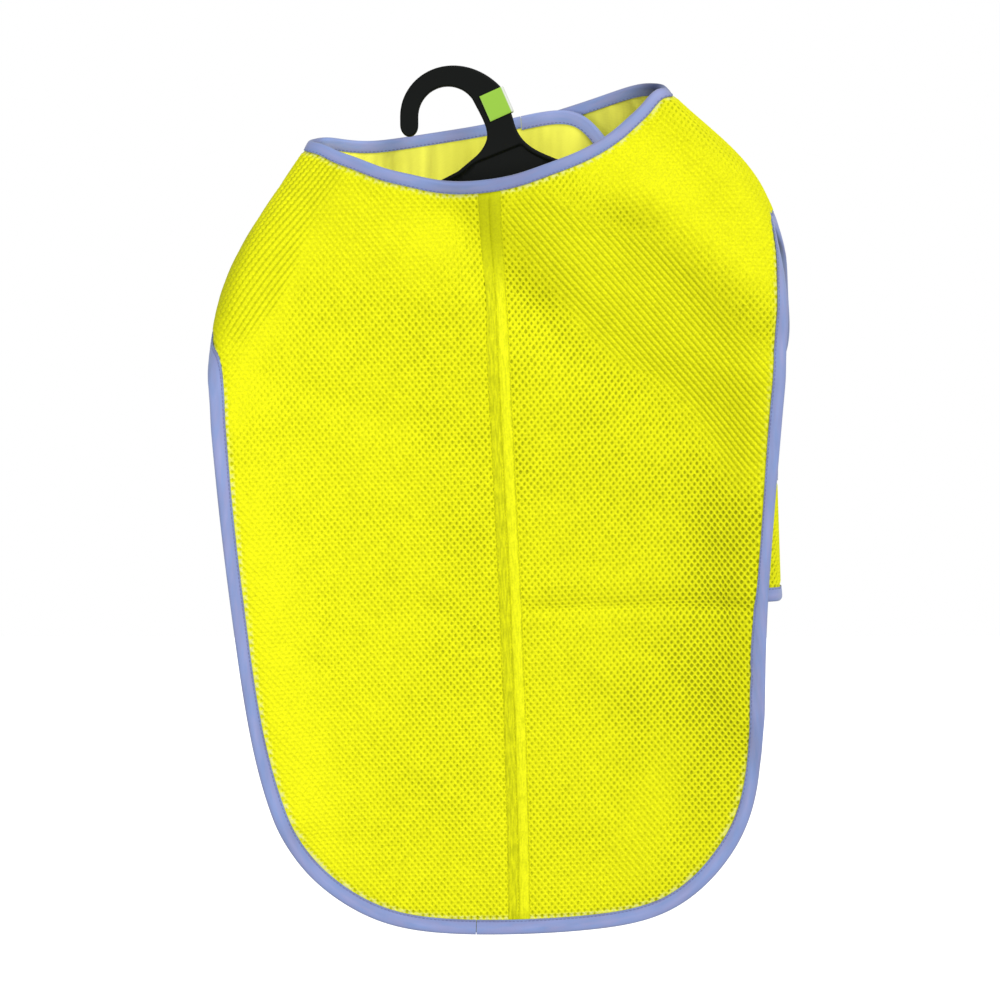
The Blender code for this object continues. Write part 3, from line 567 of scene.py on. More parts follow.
def locate(side_name, flat):
    """u and t of points on the flat cut, held to its edges, and how far outside them each point is in mm."""
    net = nets[side_name][2]
    knots = net.reshape(-1, 2)
    chunks = [flat[start : start + CHUNK] for start in range(0, len(flat), CHUNK)]
    near = np.concatenate([np.sum((part[:, None] - knots) ** 2, axis=-1).argmin(axis=1) for part in chunks])
    column, row = (near // NET_ROWS).astype(float), (near % NET_ROWS).astype(float)
    for _ in range(NEWTON_STEPS):
        value, by_column, by_row = read_net(net, column, row)
        miss = flat - value
        area = by_column[:, 0] * by_row[:, 1] - by_column[:, 1] * by_row[:, 0]
        step_column = (miss[:, 0] * by_row[:, 1] - miss[:, 1] * by_row[:, 0]) / area
        step_row = (by_column[:, 0] * miss[:, 1] - by_column[:, 1] * miss[:, 0]) / area
        column = np.clip(column + np.clip(step_column, -2, 2), -0.5, NET_COLUMNS - 0.5)
        row = np.clip(row + np.clip(step_row, -1, 1), -0.5, NET_ROWS - 0.5)
    column, row = np.clip(column, 0, NET_COLUMNS - 1), np.clip(row, 0, NET_ROWS - 1)
    outside = np.linalg.norm(read_net(net, column, row)[0] - flat, axis=-1)
    u = SIDES[side_name] * column * LAST_RIB / (NET_COLUMNS - 1)
    return np.stack([u, row / (NET_ROWS - 1)], axis=-1), outside


def bound_edge(side_name):
    """The cut's edge under the tape as a line on the flat cloth: neck, flap end, outer edge."""
    net = nets[side_name][2]
    return np.concatenate([net[:, 0], net[-1, 1:], net[-2::-1, -1]])


def tape_wider(u, t):
    """How many mm more than usual the tape covers: more at the hem, less at the neck and the right side."""
    hem = HEM_WIDER * (1 - smoothstep((np.abs(u) - HEM_TO) / HEM_FADES))
    curl = CURL_NARROWER * np.exp(-(((u - CURL_RIB) / CURL_HALF) ** 2))
    return np.where(t > 0.5, hem - curl, -NECK_NARROWER * (np.abs(u) < JOIN_RIB))


def from_edge(side_name, flat, from_tape=False):
    """Distance in mm from points on the flat cut to the bound edge.

    With from_tape, what the tape covers there beyond its usual width is taken off.
    """
    line = bound_edge(side_name)
    start, run = line[:-1], np.diff(line, axis=0)
    out, end = np.linspace(0, LAST_RIB, NET_COLUMNS), np.linspace(0, 1, NET_ROWS)
    u = np.concatenate([out, end[1:] * 0 + LAST_RIB, out[-2::-1]]) * SIDES[side_name]
    t = np.concatenate([out * 0, end[1:], out[:-1] * 0 + 1])
    more = -tape_wider(u, t)[:-1] * from_tape
    nearest = []
    for first in range(0, len(flat), CHUNK):
        gap = flat[first : first + CHUNK, None] - start[None]
        along = np.clip(np.sum(gap * run, axis=-1) / np.sum(run * run, axis=-1), 0, 1)
        nearest.append((np.linalg.norm(gap - along[..., None] * run, axis=-1) + more).min(axis=1))
    return np.concatenate(nearest)


# %% [markdown]
# ## Spacer mesh
#
# The outer cloth is a warp-knitted air mesh: two knitted faces about 3 mm apart, held by a pile of fine
# upright yarns. Its front face is a net of round holes in staggered rows, with soft bright ridges of yarn
# between them. A bump map could fake the holes, but they catch light and cast shade, so each hole is made:
# a six-sided cell with a rim at full height, walls that slope in, and a floor. Cells share their rims, so
# one sheet closes over thousands of them. Under the tape the knit is pressed flat, and those cells have no
# hole.

# %% The knit's cells
HOLE_PITCH = 5.08  # mm from hole to hole along a row
ROW_PITCH = 3.13  # mm from row to row
RIM_HALF = 0.6  # half the length of a cell's upright sides
CELL = np.array([(0.5 * HOLE_PITCH, RIM_HALF), (0, ROW_PITCH - RIM_HALF), (-0.5 * HOLE_PITCH, RIM_HALF),
                 (-0.5 * HOLE_PITCH, -RIM_HALF), (0, RIM_HALF - ROW_PITCH), (0.5 * HOLE_PITCH, -RIM_HALF)])
FLOOR = np.array([(0.5, 0.5), (0, 1.1), (-0.5, 0.5), (-0.5, -0.5), (0, -1.1), (0.5, -0.5)])
HOLE_UNEVEN = 0.14  # how much a hole's floor differs in size from the next, as a share
HOLE_DEPTH = 1.2
HOLES_DEEPEN = 1.5  # mm beyond the tape within which the holes reach that depth
PLY_GAP = 0.15  # from the surface between mesh and lining to either of them
MESH_WALL, MESH_PRESSED, MESH_SEAMED = 3.0, 1.25, 2.1
TAPE_WIDTH = 9.5  # mm that show of the folded tape
PRESSED_TO, FULL_FROM = 9.6, 14.0  # mm from the edge
SEAMED_TO, SEAM_FULL_FROM = 8.6, 13.0  # mm from the centre seam
SEAM_OPEN = 0.2  # mm from the seam's line to either half


def clear_of_tape(edge_distance):
    """0 under the tape, where cloth is pressed, rising softly to 1 where it has its full thickness."""
    return smoothstep((edge_distance - PRESSED_TO) / (FULL_FROM - PRESSED_TO))


def hole_depths(edge_distance):
    """How deep the cells' holes are: none under the tape, and beyond it soon as deep as elsewhere."""
    return HOLE_DEPTH * smoothstep((edge_distance - PRESSED_TO) / HOLES_DEEPEN)


def mesh_wall(edge_distance, seam_distance):
    """Thickness of the mesh: pressed under the tape, less pressed beside the seam, full elsewhere."""
    by_edge = clear_of_tape(edge_distance)
    by_seam = smoothstep((seam_distance - SEAMED_TO) / (SEAM_FULL_FROM - SEAMED_TO))
    seamed = MESH_SEAMED + (MESH_WALL - MESH_SEAMED) * by_seam
    return MESH_PRESSED + (seamed - MESH_PRESSED) * by_edge


def cell_centres(low, high):
    """Centres of staggered cells over a flat box, every other row half a pitch along."""
    rows = np.arange(math.floor(low[1] / ROW_PITCH), math.ceil(high[1] / ROW_PITCH) + 1)
    columns = np.arange(math.floor(low[0] / HOLE_PITCH), math.ceil(high[0] / HOLE_PITCH) + 1)
    across, down = np.meshgrid(columns, rows)
    across = (across + 0.5 * (down % 2)) * HOLE_PITCH
    return np.stack([across.ravel(), down.ravel() * ROW_PITCH], axis=-1)


def rims(centres):
    """The cells' corners on the flat cloth, each once, and which six of them each cell has."""
    corners = (centres[:, None] + CELL).reshape(-1, 2)
    keys, index = np.unique(np.round(corners * 100).astype(int), axis=0, return_inverse=True)
    return keys / 100.0, index.reshape(-1, 6)


def coarse_back(rim_flat, here, there):
    """The sheet's back: its open edge and every eighth rim inside it, joined by triangles without holes."""
    ring = np.unique(here)
    column, row = np.round(rim_flat / (HOLE_PITCH, ROW_PITCH) - (0.5, RIM_HALF / ROW_PITCH), 2).T
    inside = np.flatnonzero((column % 2 == 0) & (row % 4 == 0))
    used = np.concatenate([ring, np.setdiff1d(inside, ring)])
    place = np.full(len(rim_flat), -1)
    place[used] = np.arange(len(used))
    edges = np.stack([place[here], place[there]], axis=-1)
    made = delaunay_2d_cdt([Vector(at) for at in rim_flat[used]], edges.tolist(), [], 1, 1e-5)
    assert len(made[0]) == len(used)
    return used, np.array(made[2])


def knit(surface, flat, at, index, low, high, hole):
    """Points, faces, depths and flat places of a sheet of cells on a surface.

    surface gives the points for coordinates and heights. flat and at are pairs, for the rims and the
    centres, of their places on the flat cloth and their coordinates. index is each cell's six rims, low and
    high the heights of the sheet's back and front at each rim, and hole each cell's depth. A floor is a
    little larger or smaller for each cell, as a knit is never quite even.
    """
    (rim_flat, centre_flat), (rim_at, centre_at) = flat, at
    holed = hole > 0
    cells, flat_cells = index[holed], index[~holed]
    arms = rim_at[cells] - centre_at[holed, None]
    right, up = (arms[:, 0] + arms[:, 5] - arms[:, 2] - arms[:, 3]) / 4, (arms[:, 1] - arms[:, 4]) / 2
    share = FLOOR / CELL.max(axis=0)
    uneven = 1 + HOLE_UNEVEN * np.random.default_rng(len(cells)).standard_normal((len(cells), 1, 1))
    floor_at = centre_at[holed, None] + uneven * (share[:, :1] * right[:, None] + share[:, 1:] * up[:, None])
    floor_flat = centre_flat[holed, None] + uneven * FLOOR
    floor_high = high[cells].mean(axis=1, keepdims=True) - hole[holed, None] + np.zeros(6)

    here, there = index.ravel(), np.roll(index, -1, axis=1).ravel()
    count = len(rim_at)
    open_edge = ~np.isin(here * count + there, there * count + here)
    here, there = here[open_edge], there[open_edge]
    used, back = coarse_back(rim_flat, here, there)
    behind = np.zeros(count, int)
    behind[used] = count + np.arange(len(used))
    side = np.stack([there, here, behind[here], behind[there]], axis=-1)

    first = count + len(used)
    floor_index = first + np.arange(cells.size).reshape(-1, 6)
    after, floor_after = np.roll(cells, -1, axis=1), np.roll(floor_index, -1, axis=1)
    walls = np.stack([cells, after, floor_after, floor_index], axis=-1).reshape(-1, 4)
    points = np.concatenate([surface(rim_at, high), surface(rim_at[used], low[used]),
                             surface(floor_at.reshape(-1, 2), floor_high.ravel())])
    faces = [np.concatenate([flat_cells, floor_index]), np.concatenate([walls, side]), back[:, ::-1] + count]
    depth = np.concatenate([np.zeros(first), np.ones(cells.size)])
    cut = np.concatenate([rim_flat, rim_flat[used], floor_flat.reshape(-1, 2)])
    return points, faces, depth, cut


# %% [markdown]
# The yarn is polyester dyed with a fluorescent yellow, which gives back more light than a plain dye can. It
# is matt, with a faint sheen at grazing angles. Deep in the holes the same yarn looks olive, since little
# light comes back out.


# %% Mesh finish
def mottled(tree, colour, coordinates, scale, dark, light, detail=3.0):
    """The colour times a soft cloud between dark and light, for how unevenly cloth takes dye and light."""
    cloud = node(tree, "ShaderNodeTexNoise", {"Vector": coordinates, "Scale": scale, "Detail": detail})
    value = node(tree, "ShaderNodeMapRange",
                 {"Value": cloud.outputs["Fac"], 1: 0.3, 2: 0.7, 3: dark, 4: light})
    mixed = node(tree, "ShaderNodeMix", {0: 1.0, 6: colour, 7: value.outputs[0]}, data_type="RGBA",
                 blend_type="MULTIPLY")
    return mixed.outputs[2]


def air_mesh():
    """Warp-knitted polyester air mesh, dyed fluorescent yellow: bright ridges, olive holes, a matt face.

    Where the cloth is stretched aslant, its lines are a wave along the cut in colour and bump only. Painted
    shade darkens it towards the olive of the holes where the cloth is turned away from the light, and a
    painted highlight pales the last ridges beside the tape.
    """
    made, tree, shader = bare_finish("air mesh, fluorescent yellow")
    place = node(tree, "ShaderNodeTexCoord").outputs["Object"]
    depth, holes, slant, painted_shade, edge_highlight = (
        node(tree, "ShaderNodeAttribute", attribute_name=name).outputs["Fac"]
        for name in ("depth", "open", "slant", "painted_shade", "edge_highlight"))
    shut = node(tree, "ShaderNodeTexNoise", {"Vector": place, "Scale": 16.0, "Detail": 3.0})
    shut = node(tree, "ShaderNodeMapRange",
                {"Value": shut.outputs["Fac"], 1: 0.35, 2: 0.65, 3: 0.84, 4: 0.96})
    apart = node(tree, "ShaderNodeMath", {0: slant}, operation="ABSOLUTE").outputs[0]
    apart = node(tree, "ShaderNodeMapRange", {"Value": apart, 1: 0.4, 2: 1.0, 3: 1.0, 4: 0.72}).outputs[0]
    opened = depth
    for factor in (shut.outputs[0], holes, apart):
        opened = node(tree, "ShaderNodeMath", {0: opened, 1: factor}, operation="MULTIPLY").outputs[0]
    cut = node(tree, "ShaderNodeUVMap", uv_map="cut").outputs[0]
    for sign in (1, -1):
        turns = np.array([1 / HOLE_PITCH, -sign / (2 * ROW_PITCH), 0]) * 2 * math.pi / MM
        phase = node(tree, "ShaderNodeVectorMath", {0: cut, 1: turns}, operation="DOT_PRODUCT")
        wave = node(tree, "ShaderNodeMath", {0: phase.outputs["Value"]}, operation="COSINE").outputs[0]
        line = node(tree, "ShaderNodeMapRange", {"Value": wave, 1: -0.65, 2: 0.75, 3: 0.0, 4: 0.78})
        share = node(tree, "ShaderNodeMath", {0: slant, 1: float(sign)}, operation="MULTIPLY",
                     use_clamp=True)
        groove = node(tree, "ShaderNodeMath", {0: line.outputs[0], 1: share.outputs[0]},
                      operation="MULTIPLY").outputs[0]
        opened = node(tree, "ShaderNodeMath", {0: opened, 1: groove}, operation="MAXIMUM").outputs[0]
    # Painted shade: where this is set, the colour goes towards the olive of the holes.
    opened = node(tree, "ShaderNodeMath", {0: opened, 1: painted_shade}, operation="MAXIMUM").outputs[0]
    colour = node(tree, "ShaderNodeValToRGB", {"Fac": opened},
                  stops=[(0.0, "#FDFE14"), (1.0, "#B0B400"), (0.55, "#F6F810"), (0.8, "#D2D604")])
    # Painted highlight: paler on the last ridges along the tape's edge.
    with_highlight = node(tree, "ShaderNodeMix", {0: edge_highlight, 6: colour.outputs[0], 7: linear("#F1F49C")},
                 data_type="RGBA")
    uneven = mottled(tree, with_highlight.outputs[2], place, 55.0, 0.94, 0.985)
    uneven = mottled(tree, uneven, place, 620.0, 0.86, 1.07)
    yarn = node(tree, "ShaderNodeTexNoise", {"Vector": place, "Scale": 1600.0, "Detail": 2.0})
    bump = node(tree, "ShaderNodeBump",
                {"Height": yarn.outputs["Fac"], "Strength": 0.35, "Distance": 0.0003})
    sunk = node(tree, "ShaderNodeBump", {"Height": opened, "Normal": bump.outputs[0], "Strength": 0.5,
                                         "Distance": 0.001}, invert=True)
    feed(tree, shader, {"Base Color": uneven, "Normal": sunk.outputs[0], "Roughness": 0.75,
                        "Sheen Weight": 0.03, "Sheen Roughness": 0.5, "Specular IOR Level": 0.12})
    return made


MESH_FINISH = air_mesh()


# %% Where the knit is shut, and where it is stretched aslant
# On each of these lines, with a soft bell across it, the holes are shut by that share, or opened if negative.
SHUT = [
    Fold("along the left edge", -170, -330, -120, -590, 34, 0.38),
    Fold("over the right arm", 118, -34, 240, -118, 35, 0.72),
    Fold("beside the neck, on the left", -100, -90, -20, -110, 38, 0.5),
    Fold("over the left arm", -150, -110, -178, -230, 30, 0.4),
    Fold("over the left half", -90, -215, -60, -600, 86, 0.24),
    Fold("beside the right edge", 212, -330, 192, -480, 26, -0.3),
    Fold("over the right half", 92, -350, 88, -600, 56, 0.16),
]
# Where the cloth is stretched aslant, the holes run together in lines: down to the right where positive.
SLANT = [
    Fold("from the neck down to the right", 66, -104, 150, -166, 34, 1.3),
    Fold("on to the right edge", 150, -166, 232, -236, 50, 1.3),
    Fold("down beside the right edge", 226, -260, 206, -420, 28, 0.5),
    Fold("over the right half", 120, -400, 140, -600, 60, 0.3),
    Fold("down to the hem on the right", 184, -490, 144, -606, 26, 0.5),
    Fold("over the left arm, by the neck", -96, -60, -150, -140, 36, -1.1),
    Fold("down the left arm", -150, -140, -178, -250, 30, -0.8),
]
# Painted shade: over the left arm, where the cloth turns away from the light, and in the hollow beside the top
# of the seam, the knit is painted darker, towards the olive of its holes.
PAINTED_SHADE_LINES = [
    Fold("over the left arm", -158, -110, -190, -236, 27, 0.66),
    Fold("beside the seam, at the neck", 53, -82, 56, -116, 17, 0.5),
]
MOST_OPEN, LEAST_OPEN = 1.08, 0.15
TURNS_BACK_AT, TURNS_WITHIN = 8.0, 8.0  # mm of depth, where the cloth turns over the arms and this ends


def knit_state(points):
    """How open the holes are at each point, how far they run together aslant, and how much painted shade lies
    on the knit.
    """
    x, y, z = points.T
    near = smoothstep((TURNS_BACK_AT - y) / TURNS_WITHIN)
    shut, slant, painted_shade = (fold_depth(table, x, z) * near for table in (SHUT, SLANT, PAINTED_SHADE_LINES))
    return {"open": np.maximum(MOST_OPEN - shut, LEAST_OPEN), "slant": np.clip(slant, -1, 1), "painted_shade": painted_shade}


# %% The two outer halves
HIGHLIGHT_AT, HIGHLIGHT_WIDE = 10.6, 1.3  # mm from the edge, where a painted highlight pales the last ridges, which stand up out of the tape
SEAM_CLEAR, EDGE_CLEAR = 1.0, 0.8  # mm from the seam and from the bound edge to the nearest cell's centre
ON_THE_CUT = 0.05  # mm by which a centre may miss the cut


def half_mesh(side_name):
    """One outer half: cells over its whole cut, pressed and without holes under the tape."""
    side, net = SIDES[side_name], nets[side_name][2]
    centres = cell_centres(net.min(axis=(0, 1)), net.max(axis=(0, 1)))
    centres = centres[side * centres[:, 0] > SEAM_CLEAR]
    centre_at, outside = locate(side_name, centres)
    inside = outside < ON_THE_CUT
    centres, centre_at = centres[inside], centre_at[inside]
    inside = from_edge(side_name, centres) > EDGE_CLEAR
    centres, centre_at = centres[inside], centre_at[inside]
    rim_flat, index = rims(centres)
    rim_flat[:, 0] = side * np.maximum(side * rim_flat[:, 0], SEAM_OPEN)
    rim_at = locate(side_name, rim_flat)[0]
    rim_edge, centre_edge = [from_edge(side_name, places, True) for places in (rim_flat, centres)]
    rim_wall = mesh_wall(rim_edge, np.abs(rim_flat[:, 0]))
    hole = hole_depths(centre_edge)
    low = np.full(len(rim_at), PLY_GAP)
    flat, at = (rim_flat, centres), (rim_at, centre_at)
    points, faces, depth, cut = knit(on_vest, flat, at, index, low, low + rim_wall, hole)
    edge_highlight = np.zeros(len(points))
    # Painted highlight beside the tape, left out where the right side turns in and the edge lies in shade.
    turned = np.exp(-(((rim_at[:, 0] - CURL_RIB) / (2 * CURL_HALF)) ** 2)) * (rim_at[:, 1] > 0.5)
    edge_highlight[: len(rim_edge)] = np.exp(-(((rim_edge - HIGHLIGHT_AT) / HIGHLIGHT_WIDE) ** 2)) * (1 - turned)
    print(side_name, "half:", len(centres), "cells,", int((hole > 0).sum()), "holes")
    return piece("mesh_" + side_name, points, faces, MESH_FINISH, ["half_" + side_name],
                 {"depth": depth, "edge_highlight": edge_highlight, **knit_state(points)}, cut, sharp=180)


halves = {name: half_mesh(name) for name in SIDES}

# %% [markdown]
# ## Lining
#
# Behind the mesh lies a thin smooth knit. It shows inside the neck and from behind, where it is slack: it
# was cut a little wider than the mesh, so it stands off it in soft upright wrinkles. It is a thin wall on
# the same surface, on the mesh's inner side, and each wrinkle is one line of a table.

# %% The linings
LINING_WALL, LINING_PRESSED = 1.0, 0.7
LINING_COLUMNS, LINING_ROWS = 321, 49
GLOW_MIDDLE, GLOW_HALF, GLOW_FADES = 14.8, 3.4, 1.2  # ribs from the seam, where a painted glow stands in for light coming through the flap
SHOWS_TO, SHOWS_FADES = 0.5, 0.4  # share from neck to edge, down to which the neck shows the lining
Wrinkle = namedtuple("Wrinkle", "side rib_at_neck rib_below half_width reach height")

WRINKLES = [
    Wrinkle("left", 12.35, 12.1, 0.10, 0.5, 2.0),
    Wrinkle("left", 12.75, 12.7, 0.13, 0.6, 2.7),
    Wrinkle("left", 13.15, 13.25, 0.10, 0.4, 2.2),
    Wrinkle("left", 13.5, 13.4, 0.16, 0.7, 2.5),
    Wrinkle("left", 14.1, 14.3, 0.12, 0.5, 1.6),
    Wrinkle("left", 14.7, 14.6, 0.2, 0.6, 1.8),
    Wrinkle("left", 16.4, 16.1, 0.18, 0.5, 1.6),
    Wrinkle("left", 17.2, 17.3, 0.14, 0.6, 1.8),
    Wrinkle("right", 11.6, 11.5, 0.12, 0.5, 2.2),
    Wrinkle("right", 12.3, 12.5, 0.16, 0.6, 2.7),
    Wrinkle("right", 13.1, 13.0, 0.14, 0.5, 2.2),
    Wrinkle("right", 13.8, 14.0, 0.2, 0.6, 1.8),
    Wrinkle("right", 15.6, 15.4, 0.2, 0.5, 1.6),
    Wrinkle("left", 2.5, 2.2, 0.4, 0.9, 0.8),
    Wrinkle("left", 5.2, 5.6, 0.3, 0.8, 0.9),
    Wrinkle("right", 3.4, 3.0, 0.4, 0.9, 0.8),
    Wrinkle("right", 6.3, 6.6, 0.3, 0.8, 0.9),
]


def seam_step(t):
    """How much u changes in one millimetre square to the centre seam."""
    step, zero = 1e-2, np.zeros_like(t)
    across = cloth(zero + step, t) - cloth(zero - step, t)
    along = unit(cloth(zero, np.minimum(t + step, 1)) - cloth(zero, np.maximum(t - step, 0)))
    return 2 * step / np.linalg.norm(np.cross(across, along), axis=-1)


def wrinkled(side_name, u, t):
    """How far the lining stands off: each wrinkle is height * exp(-(d / half_width)^2), fading down it."""
    stand = np.zeros_like(t)
    for line in WRINKLES:
        if line.side == side_name:
            middle = line.rib_at_neck + (line.rib_below - line.rib_at_neck) * t / line.reach
            bell = np.exp(-(((np.abs(u) - middle) / line.half_width) ** 2))
            stand += line.height * bell * (1 - smoothstep(t / line.reach))
    return stand


def flat_place(side_name, at):
    """Where (u, t) pairs lie on the flat cut, in mm."""
    column = np.abs(at[..., 0]).ravel() * (NET_COLUMNS - 1) / LAST_RIB
    row = at[..., 1].ravel() * (NET_ROWS - 1)
    return read_net(nets[side_name][2], column, row)[0]


def lining_knit():
    """Smooth polyester jersey, brushed and dyed yellow: soft, with a fine lengthways rib and a faint sheen.

    A painted glow, an emission on the left inner flap by the neck, stands in for light coming through its
    single layer from behind. Upright streaks of painted shade lie beside the neck, past the shoulders.
    """
    made, tree, shader = bare_finish("smooth jersey lining, yellow")
    place = node(tree, "ShaderNodeTexCoord").outputs["Object"]
    cut = node(tree, "ShaderNodeUVMap", uv_map="cut").outputs[0]
    upright = node(tree, "ShaderNodeMapping", {"Vector": place, "Scale": (1.0, 1.0, 0.12)})
    # Painted shade: upright streaks, darker and lighter, that stand in for the shade of the lining's soft
    # folds beside the neck.
    streaked = mottled(tree, linear("#F6F452"), upright.outputs[0], 85.0, 0.72, 1.06)
    even = mottled(tree, linear("#F4F24E"), upright.outputs[0], 85.0, 0.95, 1.02)
    by_neck = node(tree, "ShaderNodeAttribute", attribute_name="by_neck").outputs["Fac"]
    uneven = node(tree, "ShaderNodeMix", {0: by_neck, 6: even, 7: streaked}, data_type="RGBA").outputs[2]
    # Painted glow: an emission of the lining's own colour, standing in for light coming through the flap from
    # behind.
    painted_glow = node(tree, "ShaderNodeAttribute", attribute_name="painted_glow").outputs["Fac"]
    glow = node(tree, "ShaderNodeMix", {0: painted_glow, 6: linear("#000000"), 7: uneven}, data_type="RGBA")
    ribs = node(tree, "ShaderNodeTexWave", {"Vector": cut, "Scale": 160.0, "Distortion": 1.5, "Detail": 2.0})
    bump = node(tree, "ShaderNodeBump",
                {"Height": ribs.outputs["Fac"], "Strength": 0.25, "Distance": 0.0002})
    feed(tree, shader, {"Base Color": uneven, "Emission Color": glow.outputs[2], "Emission Strength": 0.36,
                        "Normal": bump.outputs[0], "Roughness": 0.6, "Sheen Weight": 0.25,
                        "Specular IOR Level": 0.35})
    return made


LINING_FINISH = lining_knit()


def lining(side_name):
    """A thin wall on the mesh's inner side, over the whole half, standing off it in its wrinkles."""
    side = SIDES[side_name]
    t = np.linspace(0, 1, LINING_ROWS)[None, :] + np.zeros((LINING_COLUMNS, 1))
    u = np.linspace(0, LAST_RIB, LINING_COLUMNS)[:, None] + np.zeros_like(t)
    u[0] = SEAM_OPEN * seam_step(t[0])
    at = np.stack([u * side, t], axis=-1)
    edge = from_edge(side_name, flat_place(side_name, at), True).reshape(t.shape)
    full = clear_of_tape(edge)
    off = PLY_GAP + wrinkled(side_name, u, t) * full
    thick = LINING_PRESSED + (LINING_WALL - LINING_PRESSED) * full
    outer, inner = on_vest(at, -off), on_vest(at, -off - thick)
    points, faces = wall(outer, inner)
    cut = flat_place(side_name, at)
    # Painted glow on the left inner flap by the neck, fading out down the flap and to either side.
    painted_glow = 1 - smoothstep((np.abs(u - GLOW_MIDDLE) - GLOW_HALF) / GLOW_FADES)
    shows = 1 - smoothstep((t - SHOWS_TO) / SHOWS_FADES)
    painted_glow = (painted_glow * shows * (side < 0)).ravel()
    # Where the painted shade of upright streaks lies: beside the neck, past the shoulders.
    by_neck = (smoothstep(u - SHOULDER_RIBS) * shows).ravel()
    tones = {"painted_glow": np.tile(painted_glow, 2), "by_neck": np.tile(by_neck, 2)}
    return piece("smooth_lining_" + side_name, points, [faces], LINING_FINISH,
                 ["lining_" + side_name], tones, np.concatenate([cut, cut]))


linings = {name: lining(name) for name in SIDES}

# %% [markdown]
# ## Edge tape
#
# Every edge is bound with a lilac woven tape, folded over it and stitched through. Sewing pulls the folded
# tape into a soft roll that is flattest along its stitches. It is a profile carried along the edge: the
# profile's points go in from the edge along the cloth itself, so the tape lies on every fold that the cloth
# makes.

# %% The tape's profile
TAPE_OVER, TAPE_UNDER = 2.1, 1.65  # from the surface to the inside of the tape's outer and inner leg
TAPE_SLOT = 0.6  # from the cloth's cut edge to the inside of the fold
TAPE_BEYOND = 1.5  # and to its outside
TAPE_STATION = 3.0  # mm between the profiles along the edge
# A leg from its free edge to the fold: distance in from the cloth's edge, and height of its outside above
# its inside. The dip near the free edge is where the stitches pull it down.
LEG = np.array([(9.5, 0.25), (9.35, 0.6), (8.9, 0.68), (8.3, 0.48), (7.6, 0.66), (6.2, 0.82), (4.4, 0.94),
                (2.6, 0.98), (1.0, 0.92)])
FOLD_POINTS = 7
PUFF = 0.13  # mm that the roll of the tape rises and falls
INSIDE = np.array([9.5, 6.0, 2.5, 0.4])  # places of the points on a leg's inside


def tape_profile(over, under):
    """The closed profile: places in from the edge and heights, and how far across the tape each point is."""
    angle = np.linspace(90, -90, FOLD_POINTS + 2)[1:-1]
    top, bottom = over + LEG[-1, 1], -(under + LEG[-1, 1])
    middle, half = (top + bottom) / 2, (top - bottom) / 2
    fold = np.stack([LEG[-1, 0] - (LEG[-1, 0] + TAPE_BEYOND) * np.cos(np.radians(angle)),
                     middle + half * np.sin(np.radians(angle))], axis=-1)
    outer = LEG + (0, over)
    inner = LEG[::-1] * (1, -1) - (0, under)
    inside = np.concatenate([
        np.stack([INSIDE, np.full(len(INSIDE), -under)], axis=-1),
        np.array([(-TAPE_SLOT, (over - under) / 2)]),
        np.stack([INSIDE[::-1], np.full(len(INSIDE), over)], axis=-1),
    ])
    profile = np.concatenate([outer, fold, inner, inside])
    across = np.clip((profile[:, 0] + TAPE_BEYOND) / (TAPE_WIDTH + TAPE_BEYOND), 0, 1)
    return profile[:, 0], profile[:, 1], across


def ripple(along, seed):
    """A smooth uneven wave of about unit height along a length in mm: the sum of five sines."""
    draw = np.random.default_rng(seed)
    total = np.zeros_like(along)
    for wavelength in (9.0, 14.0, 23.0, 41.0, 67.0):
        total += np.sin(2 * np.pi * (along / wavelength + draw.random())) * draw.uniform(0.3, 0.7)
    return total / 1.5


def spaced(at, surface, spacing):
    """Surface coordinates an even distance apart along a line of them."""
    length = travelled(surface(at, np.zeros(len(at))))
    where = np.linspace(0, length[-1], int(length[-1] / spacing) + 1)
    return np.stack([np.interp(where, length, at[:, k]) for k in range(2)], axis=-1), where


def carried(surface, edge_at, inner_at, inward, height):
    """Points at those distances in from the edge and heights; beyond it they go straight on outwards."""
    share = (np.maximum(inward, 0) / TAPE_WIDTH)[..., None]
    at = edge_at[:, None] * (1 - share) + inner_at[:, None] * share
    points = surface(at, height)
    cut = surface(edge_at, np.zeros(len(edge_at)))
    along = unit(np.gradient(cut, axis=0))
    out = cut - surface(inner_at, np.zeros(len(inner_at)))
    out = unit(out - along * np.sum(out * along, axis=-1, keepdims=True))
    return points + out[:, None] * np.maximum(-inward, 0)[..., None]


def rolled_tape(name, surface, edge_at, inner_at, where, over, under, stands_for, seed, share=1.0, painted_glow=0.0,
                shade=0.0):
    """The folded tape along an edge: the profile at each station, with a flat cap at each end.

    share is how wide its legs are, as a part of the usual width, the next how strong a painted glow is,
    standing in for light coming through from behind, and shade how much painted shade darkens it.
    """
    inward, height, across = tape_profile(over, under)
    count, sides = len(edge_at), len(inward)
    inward = np.where(inward > 0, inward * (share + where * 0)[:, None], inward)
    crown = np.where(np.abs(height) > max(over, under) + 0.5, np.sign(height), 0.0)
    puff = PUFF * ripple(where, seed)[:, None] * crown
    points = carried(surface, edge_at, inner_at, inward, height + puff).reshape(-1, 3)
    at = np.arange(count * sides).reshape(count, sides)
    after = np.roll(at, -1, axis=1)
    skin = np.stack([at[:-1], at[1:], after[1:], after[:-1]], axis=-1).reshape(-1, 4)
    # Each cap is cut into strips between the outside of the profile and its inside.
    faces = [skin, cap(at[0]), cap(at[-1])[:, ::-1]]
    around = np.concatenate([[0], np.cumsum(np.hypot(np.diff(inward[0]), np.diff(height)))])
    cut = np.stack([np.repeat(where, sides), np.tile(around, count)], axis=-1)
    tones = {"across": np.tile(across, count), "painted_glow": np.repeat(painted_glow + where * 0, sides),
             "shade": np.repeat(shade + where * 0, sides)}
    return piece(name, points, faces, TAPE_FINISH, stands_for, tones, cut, sharp=70)


